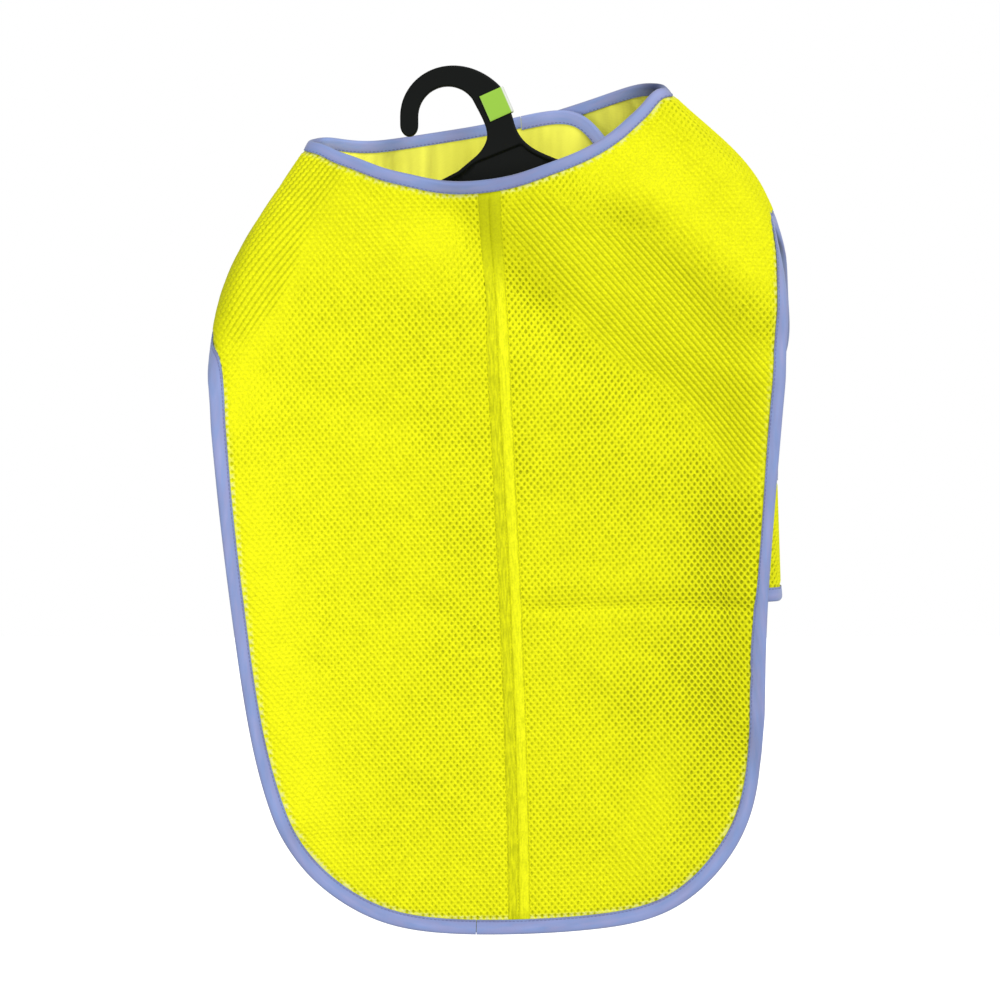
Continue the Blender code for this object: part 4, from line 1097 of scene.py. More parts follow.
def cap(ring):
    """Triangles that close the folded profile: a fan of strips from its outside to its inside."""
    outside = len(LEG) * 2 + FOLD_POINTS
    outer, inner = list(ring[:outside]), list(ring[outside:][::-1])
    faces, i, j = [], 0, 0
    while i < len(outer) - 1 or j < len(inner) - 1:
        if j * (len(outer) - 1) < i * (len(inner) - 1):
            faces.append((outer[i], inner[j + 1], inner[j]))
            j += 1
        else:
            faces.append((outer[i], outer[i + 1], inner[j]))
            i += 1
    return np.array(faces)


print("profile of", len(tape_profile(TAPE_OVER, TAPE_UNDER)[0]), "points")


# %% Tape finish
def woven_tape():
    """Woven polyester binding, lilac with bluer patches: a satin face and fine cross ribs."""
    made, tree, shader = bare_finish("woven edge tape, lilac")
    cut = node(tree, "ShaderNodeUVMap", uv_map="cut").outputs[0]
    across = node(tree, "ShaderNodeAttribute", attribute_name="across").outputs["Fac"]
    # Painted shade: the colour is darker at the tape's folded outer edge, where it rolls away from the light,
    # and darkest at the free edge of its legs, a painted shadow in the gap beside the mesh.
    colour = node(tree, "ShaderNodeValToRGB", {"Fac": across},
                  stops=[(0.0, "#868BB2"), (1.0, "#656C90"), (0.12, "#949CCD"), (0.5, "#9CA4D5"),
                         (0.84, "#939ACB"), (0.94, "#838AB8")])
    stretched = node(tree, "ShaderNodeMapping", {"Vector": cut, "Scale": (1.0, 4.0, 1.0)})
    cloud = node(tree, "ShaderNodeTexNoise", {"Vector": stretched.outputs[0], "Scale": 45.0, "Detail": 3.0})
    share = node(tree, "ShaderNodeMapRange",
                 {"Value": cloud.outputs["Fac"], 1: 0.36, 2: 0.66, 3: 0.0, 4: 0.75})
    bluer = node(tree, "ShaderNodeMix", {0: share.outputs[0], 6: colour.outputs[0], 7: linear("#86A0D8")},
                 data_type="RGBA")
    weave = node(tree, "ShaderNodeTexWave", {"Vector": cut, "Scale": 260.0, "Distortion": 0.4},
                 bands_direction="X")
    bump = node(tree, "ShaderNodeBump",
                {"Height": weave.outputs["Fac"], "Strength": 0.3, "Distance": 0.00015})
    # Painted shade: the colour is mixed towards dark navy where the tape lies in shadow.
    shade = node(tree, "ShaderNodeAttribute", attribute_name="shade").outputs["Fac"]
    with_painted_shade = node(tree, "ShaderNodeMix", {0: shade, 6: bluer.outputs[2], 7: linear("#2C3A66")},
                 data_type="RGBA")
    uneven = mottled(tree, with_painted_shade.outputs[2], stretched.outputs[0], 26.0, 0.88, 1.06)
    # Painted glow: an emission of the tape's own colour, standing in for light coming through the flap from
    # behind.
    painted_glow = node(tree, "ShaderNodeAttribute", attribute_name="painted_glow").outputs["Fac"]
    glow = node(tree, "ShaderNodeMix", {0: painted_glow, 6: linear("#000000"), 7: uneven}, data_type="RGBA")
    feed(tree, shader, {"Base Color": uneven, "Emission Color": glow.outputs[2], "Emission Strength": 0.22,
                        "Normal": bump.outputs[0], "Roughness": 0.55, "Sheen Weight": 0.3,
                        "Specular IOR Level": 0.4})
    return made


def thread(name, hex_colour):
    """Spun polyester sewing thread: twisted, so each stitch is a small dull highlight."""
    made, tree, shader = bare_finish(name)
    place = node(tree, "ShaderNodeTexCoord").outputs["Object"]
    feed(tree, shader, {"Base Color": mottled(tree, linear(hex_colour), place, 400.0, 0.85, 1.1),
                        "Roughness": 0.65, "Specular IOR Level": 0.2})
    return made


TAPE_FINISH = woven_tape()
TAPE_THREAD = thread("spun thread, grey lilac", "#7C82B0")
SEAM_THREAD = thread("spun thread, olive yellow", "#CACD00")


# %% Stitches
STITCH_PITCH = 3.1
STITCH_LONG, STITCH_WIDE = 2.3, 0.55
STITCH_IN = 8.35  # mm from the cloth's edge to the stitches
STITCH_UP = 0.58  # and from the inside of the tape up to their middles


def stitches(name, places, ahead, out, finish, slot, long=STITCH_LONG, wide=STITCH_WIDE):
    """One small eight-sided lozenge a stitch: two points at its ends and a square ring near each of them.

    places are the stitches' middles, ahead their direction and out the way up, all as rows of arrays.
    """
    aside = np.cross(ahead, out)
    ring = [(aside, 0.5), (out, 0.5), (aside, -0.5), (out, -0.5)]
    shape = [places - ahead * long / 2]
    shape += [places + ahead * long * end + way * wide * half for end in (-0.3, 0.3) for way, half in ring]
    shape += [places + ahead * long / 2]
    points = np.stack(shape, axis=1)
    ends = [(0, 2, 1), (0, 3, 2), (0, 4, 3), (0, 1, 4), (9, 5, 6), (9, 6, 7), (9, 7, 8), (9, 8, 5)]
    bands = [(1, 2, 6, 5), (2, 3, 7, 6), (3, 4, 8, 7), (4, 1, 5, 8)]
    start = np.arange(len(places))[:, None, None] * 10
    faces = [(np.array(rows)[None] + start).reshape(-1, len(rows[0])) for rows in (ends, bands)]
    points = points.reshape(-1, 3)
    return piece(name, points, faces, finish, [], sharp=180)


def stitched(surface, edge_at, inner_at, where, legs, share=1.0):
    """Middles, directions and ways up of a row of stitches on each leg; legs are their heights."""
    count = int(where[-1] / STITCH_PITCH)
    spots = (np.arange(count) + 0.5) * STITCH_PITCH
    pick = lambda rows: np.stack([np.interp(spots, where, column) for column in rows.T], axis=-1)
    places, ahead, out = [], [], []
    for height in legs:
        one = (STITCH_IN * share + where * 0)[:, None]
        line = carried(surface, edge_at, inner_at, one, one * 0 + height)[:, 0]
        above = carried(surface, edge_at, inner_at, one, one * 0 + height + math.copysign(1, height))[:, 0]
        places.append(pick(line))
        ahead.append(unit(pick(np.gradient(line, axis=0))))
        out.append(unit(pick(above - line)))
    return [np.concatenate(rows) for rows in (places, ahead, out)]


# %% The vest's tapes
FLAP_END = 1.5  # ribs from a flap's end within which its tape turns the corner
JOIN_GAP = 0.008  # ribs between the ends of two tapes
HEM_JOIN = -0.62  # where the side tapes meet at the hem, in ribs from the seam
EDGE_FINE = 0.02  # ribs between the first points along an edge, before they are spaced evenly
CORNER_POINTS = 60  # points round a flap's end
FLAP_GLOW_PAST = 1  # ribs past the left shoulder, from where a painted glow on the neck tape stands in for light coming through it
# Painted shade on the neck tape where it lies in shadow: deepest in the fold of the right shoulder, and a
# little at the left crest and under the neck. The rib it is darkest at, ribs to either side, and its share.
TAPE_SHADE = [(11.4, 1.1, 0.95), (-9.8, 1.2, 0.16), (0.5, 3.0, 0.2)]


def edge_step(u, t):
    """How much t changes in one millimetre square to the neck edge (t = 0) or to the outer edge (t = 1)."""
    step = 1e-2
    inward = cloth(u, np.abs(t - step)) - cloth(u, t)
    along = unit(cloth(u + step, t) - cloth(u - step, t))
    return step / np.linalg.norm(np.cross(inward, along), axis=-1)


def tape_inside(at):
    """For (u, t) pairs on the edge, the pairs a tape's width in from it. u is held back at a flap's end."""
    u, t = at[:, 0], at[:, 1]
    side, step = np.where(u < 0, -1.0, 1.0), 1e-2
    last = side * LAST_RIB
    across = cloth(last, t) - cloth(last - side * step, t)
    along = unit(cloth(last, np.minimum(t + step, 1)) - cloth(last, np.maximum(t - step, 0)))
    reach = TAPE_WIDTH * step / np.linalg.norm(np.cross(across, along), axis=-1)
    held = side * np.minimum(np.abs(u), LAST_RIB - reach)
    inner_u = np.where(LAST_RIB - np.abs(u) < FLAP_END, held, u)
    low = TAPE_WIDTH * edge_step(inner_u, np.zeros_like(t))
    high = 1 - TAPE_WIDTH * edge_step(inner_u, np.ones_like(t))
    return np.stack([inner_u, np.clip(t, low, high)], axis=-1)


def vest_tape(name, at, stands_for, seed):
    """A tape with its stitches along the vest's edge through these (u, t) pairs."""
    edge_at, where = spaced(at, on_vest, TAPE_STATION)
    inner_at = tape_inside(edge_at)
    share = 1 + tape_wider(*edge_at.T) / TAPE_WIDTH
    u, by_neck = edge_at[:, 0], 1 - edge_at[:, 1]
    # Painted glow on the neck tape past the left shoulder.
    painted_glow = smoothstep(-u - SHOULDER_RIBS - FLAP_GLOW_PAST) * by_neck
    # Painted shade on the neck tape, only where it runs along the neck edge.
    shade = sum(most * np.exp(-(((u - middle) / half) ** 2)) for middle, half, most in TAPE_SHADE)
    shade *= by_neck
    rolled_tape(name, on_vest, edge_at, inner_at, where, TAPE_OVER, TAPE_UNDER, stands_for, seed, share, painted_glow,
                shade)
    legs = (TAPE_OVER + STITCH_UP, -TAPE_UNDER - STITCH_UP)
    sewn = stitched(on_vest, edge_at, inner_at, where, legs, share)
    stitches(name + "_stitches", *sewn, TAPE_THREAD, "tape")
    print(name, "is", round(where[-1]), "mm long")


for side_name, side in SIDES.items():
    out = np.arange(HEM_JOIN * side + JOIN_GAP / 2, LAST_RIB, EDGE_FINE)
    round_end = np.linspace(1, 0, CORNER_POINTS)
    back = np.arange(LAST_RIB, JOIN_RIB - JOIN_GAP, -EDGE_FINE)
    u = np.concatenate([out, round_end * 0 + LAST_RIB, back[1:]]) * side
    t = np.concatenate([out * 0 + 1, round_end, back[1:] * 0])
    vest_tape("edge_tape_" + side_name, np.stack([u, t], axis=-1), ["binding_" + side_name], 3 + side)
u = np.arange(-JOIN_RIB + JOIN_GAP, JOIN_RIB, EDGE_FINE)
vest_tape("neck_tape", np.stack([u, u * 0], axis=-1), ["binding_neck"], 7)

# %% [markdown]
# ## Centre seam
#
# The halves meet down the back in a felled seam. Both edges are folded to one side under a smooth strip of
# the same yellow, stitched down along its edges, and on the other side the mesh is drawn flat. So it has
# two zones: a low one with two rows of stitches, and a smooth round band, with a narrow groove between
# them. It is a profile across the seam, carried down the back, and it runs on under the tape at both ends.

# %% The seam's profile
# Place across the seam, in mm to the right of its line, and height above the mesh there.
SEAM_PROFILE = np.array([
    (-8.4, -0.1), (-8.1, 0.3), (-7.4, 0.12), (-6.6, 0.4), (-5.4, 0.55), (-4.2, 0.45), (-3.4, 0.5),
    (-2.2, 0.6), (-1.2, 0.5), (-0.6, 0.15), (-0.1, 0.15), (0.4, 0.75), (1.4, 1.15), (2.8, 1.3),
    (4.4, 1.3), (6.0, 1.15), (7.2, 0.75), (7.9, 0.25), (8.4, 0.2), (8.8, -0.1),
])
SEAM_BACK = -0.2  # the strip's own back, below the tops of the mesh's ridges
SEAM_ROW = 2.0  # mm between the profiles down the back
SEAM_FROM_EDGE = 4.0  # mm from the cloth's edges to the strip's ends
SEAM_LEAST = 0.15  # share of its height that the strip keeps where the tape presses it
SEAM_SHADE_TO, SEAM_CLEARS = 25.0, 70.0  # mm down from the strip's top: painted shade in full down to there, and gone so far further on
SEAM_PUCKER, PUCKER_ABOVE = 0.10, 0.7  # share by which stitches pucker the strip, where it is higher than that
BAND_FROM, BAND_TO, BAND_SOFT = 0.2, 8.2, 0.6  # mm across the seam, the smooth band and how softly it starts
BAND_KEPT_IN_SHADE = 0.1  # share of its smoothness that the band keeps at the top, under the painted shade


def seam_strip():
    """The profile at every row down the seam, lower under the tape and puckered a little by stitches."""
    steps = np.array([edge_step(np.zeros(1), np.array([end]))[0] for end in (0.0, 1.0)])
    first, last = SEAM_FROM_EDGE * steps[0], 1 - SEAM_FROM_EDGE * steps[1]
    fine = np.linspace(first, last, 400)
    down, where = spaced(np.stack([fine * 0, fine], axis=-1), on_vest, SEAM_ROW)
    t = down[:, 1][None] + np.zeros((len(SEAM_PROFILE), 1))
    u = SEAM_PROFILE[:, :1] * seam_step(down[:, 1])[None]
    edge = np.minimum(down[:, 1] / steps[0] + NECK_NARROWER, (1 - down[:, 1]) / steps[1] - HEM_WIDER)
    free = SEAM_LEAST + (1 - SEAM_LEAST) * clear_of_tape(edge)
    base = PLY_GAP + mesh_wall(edge, 0.0)
    pucker = 1 + SEAM_PUCKER * ripple(where, 21)[None] * (SEAM_PROFILE[:, 1:] > PUCKER_ABOVE)
    at = np.stack([u, t], axis=-1)
    top = on_vest(at, base + SEAM_PROFILE[:, 1:] * free * pucker)
    back = on_vest(at, base + SEAM_BACK * free + 0 * u)
    points, faces = wall(top, back)
    place = SEAM_PROFILE[:, :1]
    smooth = smoothstep((place - BAND_FROM) / BAND_SOFT) * smoothstep((BAND_TO - place) / BAND_SOFT)
    # Painted shade at the strip's top, where it lies in the hollow below the neck: less of the bright band,
    # and the colour mixed towards olive.
    clear = smoothstep((where - SEAM_SHADE_TO) / SEAM_CLEARS)
    smooth = (smooth * (BAND_KEPT_IN_SHADE + (1 - BAND_KEPT_IN_SHADE) * clear)).ravel()
    painted_shade = np.tile(1 - clear, len(SEAM_PROFILE))
    cut = np.stack([np.repeat(SEAM_PROFILE[:, 0], len(where)), np.tile(where, len(SEAM_PROFILE))], axis=-1)
    piece("centre_seam_strip", points, [faces], SEAM_FINISH, ["centre_seam"],
          {"smooth": np.tile(smooth, 2), "painted_shade": np.tile(painted_shade, 2)}, np.concatenate([cut, cut]), sharp=180)
    return down[:, 1], where, base, free


def seam_knit():
    """The same yellow yarn in a closed knit: smooth on the round band, and streaked on the low zone."""
    made, tree, shader = bare_finish("closed knit seam, fluorescent yellow")
    place = node(tree, "ShaderNodeTexCoord").outputs["Object"]
    cut = node(tree, "ShaderNodeUVMap", uv_map="cut").outputs[0]
    smooth = node(tree, "ShaderNodeAttribute", attribute_name="smooth").outputs["Fac"]
    stretched = node(tree, "ShaderNodeMapping", {"Vector": cut, "Scale": (1.0, 0.14, 1.0)})
    streak = node(tree, "ShaderNodeTexNoise",
                  {"Vector": stretched.outputs[0], "Scale": 700.0, "Detail": 3.0})
    low = node(tree, "ShaderNodeValToRGB", {"Fac": streak.outputs["Fac"]},
               stops=[(0.36, "#C8CC02"), (0.64, "#ECEE0C")])
    high = node(tree, "ShaderNodeValToRGB", {"Fac": streak.outputs["Fac"]},
                stops=[(0.36, "#E4E80A"), (0.56, "#FAFC16")])
    mixed = node(tree, "ShaderNodeMix", {0: smooth, 6: low.outputs[0], 7: high.outputs[0]}, data_type="RGBA")
    # Painted shade: towards olive near the strip's top.
    painted_shade = node(tree, "ShaderNodeAttribute", attribute_name="painted_shade").outputs["Fac"]
    mixed = node(tree, "ShaderNodeMix", {0: painted_shade, 6: mixed.outputs[2], 7: linear("#CFD306")},
                 data_type="RGBA")
    colour = mottled(tree, mixed.outputs[2], place, 620.0, 0.9, 1.06)
    bump = node(tree, "ShaderNodeBump",
                {"Height": streak.outputs["Fac"], "Strength": 0.4, "Distance": 0.0003})
    feed(tree, shader, {"Base Color": colour, "Normal": bump.outputs[0], "Roughness": 0.7,
                        "Sheen Weight": 0.03, "Specular IOR Level": 0.15})
    return made


SEAM_FINISH = seam_knit()
seam_t, seam_where, seam_base, seam_free = seam_strip()

# %% The seam's stitches
SEAM_STITCH_ROWS = {-7.4: 0.16, -0.35: 0.2, 8.1: 0.24}  # mm across the seam, and height above the mesh


def seam_stitches():
    """Three rows of stitches down the seam: at the low zone's edge, in the groove and at the band's edge."""
    places, ahead, out = [], [], []
    spots = np.arange(STITCH_PITCH * 3, seam_where[-1] - STITCH_PITCH * 3, STITCH_PITCH)
    t, base, free = (np.interp(spots, seam_where, rows) for rows in (seam_t, seam_base, seam_free))
    for across, height in SEAM_STITCH_ROWS.items():
        at = np.stack([across * seam_step(t), t], axis=-1)
        line = on_vest(at, base + height * free)
        places.append(line)
        ahead.append(unit(np.gradient(line, axis=0)))
        out.append(normals(at[:, 0], t))
    rows = [np.concatenate(part) for part in (places, ahead, out)]
    return stitches("centre_seam_stitches", *rows, SEAM_THREAD, "seam", long=2.0, wide=0.36)


seam_stitches()

# %% [markdown]
# ## Belly straps
#
# Each strap is a band of the same mesh, sewn inside a side edge, turned back round it and closed behind
# with hook and loop. A strap is described by sections across it, joined by the same smooth curve as the
# ribs. Its cut is a plain rectangle, so its cells need no unrolling.

# %% The straps' sections
# A section's line is at x_top, y at the top edge z_top and x_bottom, y at the lower edge.
Section = namedtuple("Section", "place x_top x_bottom y z_top z_bottom")

STRAPS = {
    "right": [
        Section("sewn inside", 226, 222, -23.0, -289, -392),
        Section("under the tape", 241, 238, -25.5, -289, -392),
        Section("turning out", 248, 251, -21.5, -290, -392),
        Section("turning back", 251.8, 256.5, -11, -291, -393),
        Section("fold", 252.8, 257.8, 0, -292, -393),
        Section("turned", 249, 253.8, 8.5, -293, -394),
        Section("behind", 240, 245, 12, -294, -395),
        Section("right of centre", 180, 182, 15, -295, -397),
        Section("middle", 100, 101, 17.6, -295, -398),
        Section("past centre", 40, 40, 18, -294, -398),
        Section("end", -12, -12, 17.2, -292, -397),
    ],
    "left": [
        Section("sewn inside", -148, -140, -24.0, -296, -399),
        Section("under the tape", -160, -150, -24.0, -296, -399),
        Section("turning out", -166.5, -156.5, -17, -297, -400),
        Section("turning back", -169, -159, -6, -297, -400),
        Section("fold", -166, -156.5, 2.5, -298, -400),
        Section("behind", -156, -147, 6.5, -298, -401),
        Section("left of centre", -110, -106, 8.5, -299, -402),
        Section("middle", -40, -40, 10.2, -298, -402),
        Section("past centre", 30, 30, 10.6, -296, -401),
        Section("end", 92, 92, 10, -294, -399),
    ],
}
STRAP_WALL, STRAP_PRESSED = 3.0, 1.5
STRAP_CLEAR = 1.0  # mm from a strap's edges to the nearest cell's centre
STRAP_UNDER_TAPE = 1.2  # from the strap's middle to the inside of its tape


def strap_points(side_name, at):
    """Points on a strap's middle: at counts sections along it, then runs from 0 at its top edge to 1."""
    rows = spline([section[1:] for section in STRAPS[side_name]], at[..., 0])
    x_top, x_bottom, y, z_top, z_bottom = (rows[..., k] for k in range(5))
    v = at[..., 1]
    return np.stack([x_top + (x_bottom - x_top) * v, y, z_top + (z_bottom - z_top) * v], axis=-1)


def on_strap(side_name):
    """The function that gives a strap's points at coordinates, moved out along its normals by a height."""

    def surface(at, height):
        step, last = 1e-3, len(STRAPS[side_name]) - 1
        shift = lambda along, down: np.stack(
            [np.clip(at[..., 0] + along, 0, last), np.clip(at[..., 1] + down, 0, 1)], axis=-1)
        along = strap_points(side_name, shift(step, 0)) - strap_points(side_name, shift(-step, 0))
        down = strap_points(side_name, shift(0, step)) - strap_points(side_name, shift(0, -step))
        out = unit(np.cross(down, along)) * SIDES[side_name]
        return strap_points(side_name, at) + out * np.asarray(height, float)[..., None]

    return surface


def strap_lengths(side_name):
    """Fine positions along a strap with the length to each in mm, and the strap's width."""
    fine = np.linspace(0, len(STRAPS[side_name]) - 1, 800)
    line = strap_points(side_name, np.stack([fine, fine * 0 + 0.5], axis=-1))
    length = travelled(line)
    middle = STRAPS[side_name][len(STRAPS[side_name]) // 2]
    return fine, length, middle.z_top - middle.z_bottom


def strap_mesh(side_name):
    """A strap of cells with its tape along the top, round the free end and back along the bottom."""
    fine, length, width = strap_lengths(side_name)
    to_at = lambda flat: np.stack(
        [np.interp(flat[:, 0], length, fine), np.clip(flat[:, 1] / width, 0, 1)], axis=-1)
    to_edge = lambda flat: np.minimum(np.minimum(flat[:, 1], width - flat[:, 1]), length[-1] - flat[:, 0])
    centres = cell_centres((0, 0), (length[-1], width))
    centres = centres[np.minimum(to_edge(centres), centres[:, 0]) > STRAP_CLEAR]
    rim_flat, index = rims(centres)
    rim_flat = np.clip(rim_flat, (0, 0), (length[-1], width))
    half_wall = (STRAP_PRESSED + (STRAP_WALL - STRAP_PRESSED) * clear_of_tape(to_edge(rim_flat))) / 2
    hole = hole_depths(to_edge(centres))
    surface = on_strap(side_name)
    flat, at = (rim_flat, centres), (to_at(rim_flat), to_at(centres))
    points, faces, depth, cut = knit(surface, flat, at, index, -half_wall, half_wall, hole)
    tones = {"depth": depth, "edge_highlight": depth * 0, "open": depth * 0 + 1, "slant": depth * 0}
    made = piece("belly_strap_mesh_" + side_name, points, faces, MESH_FINISH,
                 ["belly_strap_" + side_name], tones, cut, sharp=180)
    print("strap", side_name, round(length[-1]), "x", width, "mm")

    last = float(len(STRAPS[side_name]) - 1)
    down = np.linspace(0, 1, 40)
    at = np.concatenate([np.stack([fine, fine * 0], axis=-1),
                         np.stack([down * 0 + last, down], axis=-1)[1:-1],
                         np.stack([fine[::-1], fine * 0 + 1], axis=-1)])
    edge_at, where = spaced(at, surface, TAPE_STATION)
    along = np.interp(edge_at[:, 0], fine, length)
    inner_at = np.stack([np.interp(np.minimum(along, length[-1] - TAPE_WIDTH), length, fine),
                         np.clip(edge_at[:, 1], TAPE_WIDTH / width, 1 - TAPE_WIDTH / width)], axis=-1)
    under = STRAP_UNDER_TAPE
    name = "belly_tape_" + side_name
    rolled_tape(name, surface, edge_at, inner_at, where, under, under, ["belly_binding_" + side_name], 31)
    sewn = stitched(surface, edge_at, inner_at, where, (under + STITCH_UP, -under - STITCH_UP))
    stitches(name + "_stitches", *sewn, TAPE_THREAD, "tape")
    return made, (length[-1], width)


straps = {name: strap_mesh(name) for name in SIDES}

# %% [markdown]
# ## Hook and loop
#
# The flaps close on the chest and the straps on the belly with patches of hook-and-loop tape: one face is a
# tangle of soft loops and the other a field of tiny stiff hooks in rows. They lie between the layers and
# are hardly seen. Each is a thin wall on the panel's own surface with a sewn-down rim.

# %% The patches
PATCH_WALL = 0.8
PATCH_GAP = 0.3
CHEST_PATCH = ((15.0, 17.4), (0.28, 0.72))  # ribs from the seam, share from neck to edge
BELLY_LOOP_PATCH, BELLY_HOOK_PATCH = ((7.0, 8.5), (0.18, 0.82)), ((8.0, 9.5), (0.18, 0.82))
PATCH_FINE = (45, 30)
BORDER = 0.08  # share of the patch that its flat sewn rim takes


def hook_and_loop(name, hex_colour, scale, height):
    """Nylon hook-and-loop tape: a nap of loops or of hooks, so a rough face with no gloss at all."""
    made, tree, shader = bare_finish(name)
    place = node(tree, "ShaderNodeTexCoord").outputs["Object"]
    nap = node(tree, "ShaderNodeTexVoronoi", {"Vector": place, "Scale": scale})
    colour = node(tree, "ShaderNodeMapRange",
                  {"Value": nap.outputs["Distance"], 1: 0.0, 2: 0.8, 3: 1.08, 4: 0.72})
    mixed = node(tree, "ShaderNodeMix", {0: 1.0, 6: linear(hex_colour), 7: colour.outputs[0]},
                 data_type="RGBA", blend_type="MULTIPLY")
    bump = node(tree, "ShaderNodeBump",
                {"Height": nap.outputs["Distance"], "Strength": 0.8, "Distance": height}, invert=True)
    feed(tree, shader, {"Base Color": mixed.outputs[2], "Normal": bump.outputs[0], "Roughness": 0.95})
    return made


LOOP_FINISH = hook_and_loop("nylon loop tape, yellow", "#E6E83A", 900.0, 0.0005)
HOOK_FINISH = hook_and_loop("nylon hook tape, yellow", "#D9DC2C", 700.0, 0.0004)


def patch(name, surface, side, area, start, finish):
    """A thin wall from start mm out of the surface, thinner along its sewn rim."""
    (first, last), (top, bottom) = area
    share = [np.linspace(0, 1, count) for count in PATCH_FINE]
    along, down = np.meshgrid(*share, indexing="ij")
    at = np.stack([(first + (last - first) * along) * side, top + (bottom - top) * down], axis=-1)
    rim = np.minimum(np.minimum(along, 1 - along), np.minimum(down, 1 - down))
    thick = PATCH_WALL * (0.55 + 0.45 * smoothstep((rim - BORDER / 2) / (BORDER / 2)))
    sign = math.copysign(1, start)
    points, faces = wall(surface(at, start + sign * thick), surface(at, start + 0 * thick))
    return piece(name + "_patch", points, [faces], finish, [name])


lifted = PLY_GAP + MESH_WALL + PATCH_GAP
patch("chest_loop", on_vest, -1, CHEST_PATCH, lifted, LOOP_FINISH)
patch("chest_hook", on_vest, 1, CHEST_PATCH, -(PLY_GAP + LINING_WALL + PATCH_GAP), HOOK_FINISH)
patch("belly_loop", on_strap("left"), 1, BELLY_LOOP_PATCH, STRAP_WALL / 2 + PATCH_GAP, LOOP_FINISH)
patch("belly_hook", on_strap("right"), 1, BELLY_HOOK_PATCH, -(STRAP_WALL / 2 + PATCH_GAP), HOOK_FINISH)

# %% [markdown]
# ## Hanger
#
# The hanger is moulded in one from black polypropylene: a flat hook, a neck that flares into two sloping
# arms, and a shallow recess in the arms that saves plastic. Its outline is arcs and gently bent lines. Both
# faces are filled with points and joined by triangles that keep to the outline. How thick the plate is at a
# point then depends only on its height and on its distance to the outline, which gives round edges and the
# recess.

# %% The hanger's outline
HOOK_PLATE, ARM_PLATE = 7.0, 10.0  # thickness of the hook and of the arms, front to back
HOOK_CENTRE, HOOK_INSIDE = (0.0, -22.8), 22.8
HOOK_LEAVES_ANGLE = 36.0  # where the arc runs out into the shank, degrees anticlockwise from +X
HOOK_TIP_DROP, HOOK_TIP_ROUND = 6.5, 8.5  # the straight tip below the arc, and the height of its round end
HOOK_WIDTH_TIP, HOOK_WIDTH_SHANK = 13.8, 23.0
SHANK_LEFT, SHANK_RIGHT = (28.2, -27.5), (48.6, -20.4)
NECK_LEFT = [(30.2, -37.5), (28.2, -43.8), (23.8, -50.4), (17.0, -56.2), (7.4, -64.1)]
NECK_RIGHT = [(51.8, -32.5), (57.6, -41.2), (67.0, -48.2), (82.0, -54.4)]
LEFT_ARM_TIP, RIGHT_ARM_TIP, ARM_TIP_RADIUS = (-165.5, -170.0), (237.0, -111.5), 6.0
ARM_UNDERSIDE = (40.0, -86.0)
ARM_SAG = 3.0
ARM_PLATE_BELOW, PLATE_BLEND = -66.0, 30.0
MOULD_ROUND = 1.4  # radius of the moulded edges
RECESS_DEEP, RECESS_RIM = 1.8, 2.8
RECESS_SLOPE, RECESS_SIDE = 2.2, 1.2  # mm over which the recess goes down from its upper line, and its sides
RECESS_CLEAR = 2.8  # mm to either side of that slope that the grid of points leaves to the slope's own
RECESS_LINE = ((13.9, -59.3), (60.7, -40.5))  # the recess lies below the line through these points
OUTLINE_STEP, FACE_STEP = 1.5, 3.0
RINGS = (0.3, 0.8, 1.4, 2.3, 3.3, 4.3)  # rings of points this far in from the outline, mm


def arc(centre, radius, start, stop, count):
    """Points on an arc from start to stop in degrees, its radius one value or one for each point."""
    angle = np.radians(np.linspace(start, stop, count))
    ways = np.stack([np.cos(angle), np.sin(angle)], axis=-1)
    return np.asarray(centre) + ways * np.reshape(radius, (-1, 1))


def bent(start, stop, sag, count):
    """Points from start to stop that stand 4 s (1 - s) sag above the straight line."""
    share = np.linspace(0, 1, count)[1:-1, None]
    start, stop = np.asarray(start), np.asarray(stop)
    return start + (stop - start) * share + 4 * sag * share * (1 - share) * np.array([0, 1])


def rounded(points, rounds=2):
    """An open line with its corners cut: each point becomes two, a quarter of the way off, in each round."""
    points = np.asarray(points, float)
    for _ in range(rounds):
        a, b = points[:-1], points[1:]
        cut = np.stack([a * 0.75 + b * 0.25, a * 0.25 + b * 0.75], axis=1).reshape(-1, 2)
        points = np.concatenate([points[:1], cut[1:-1], points[-1:]])
    return points


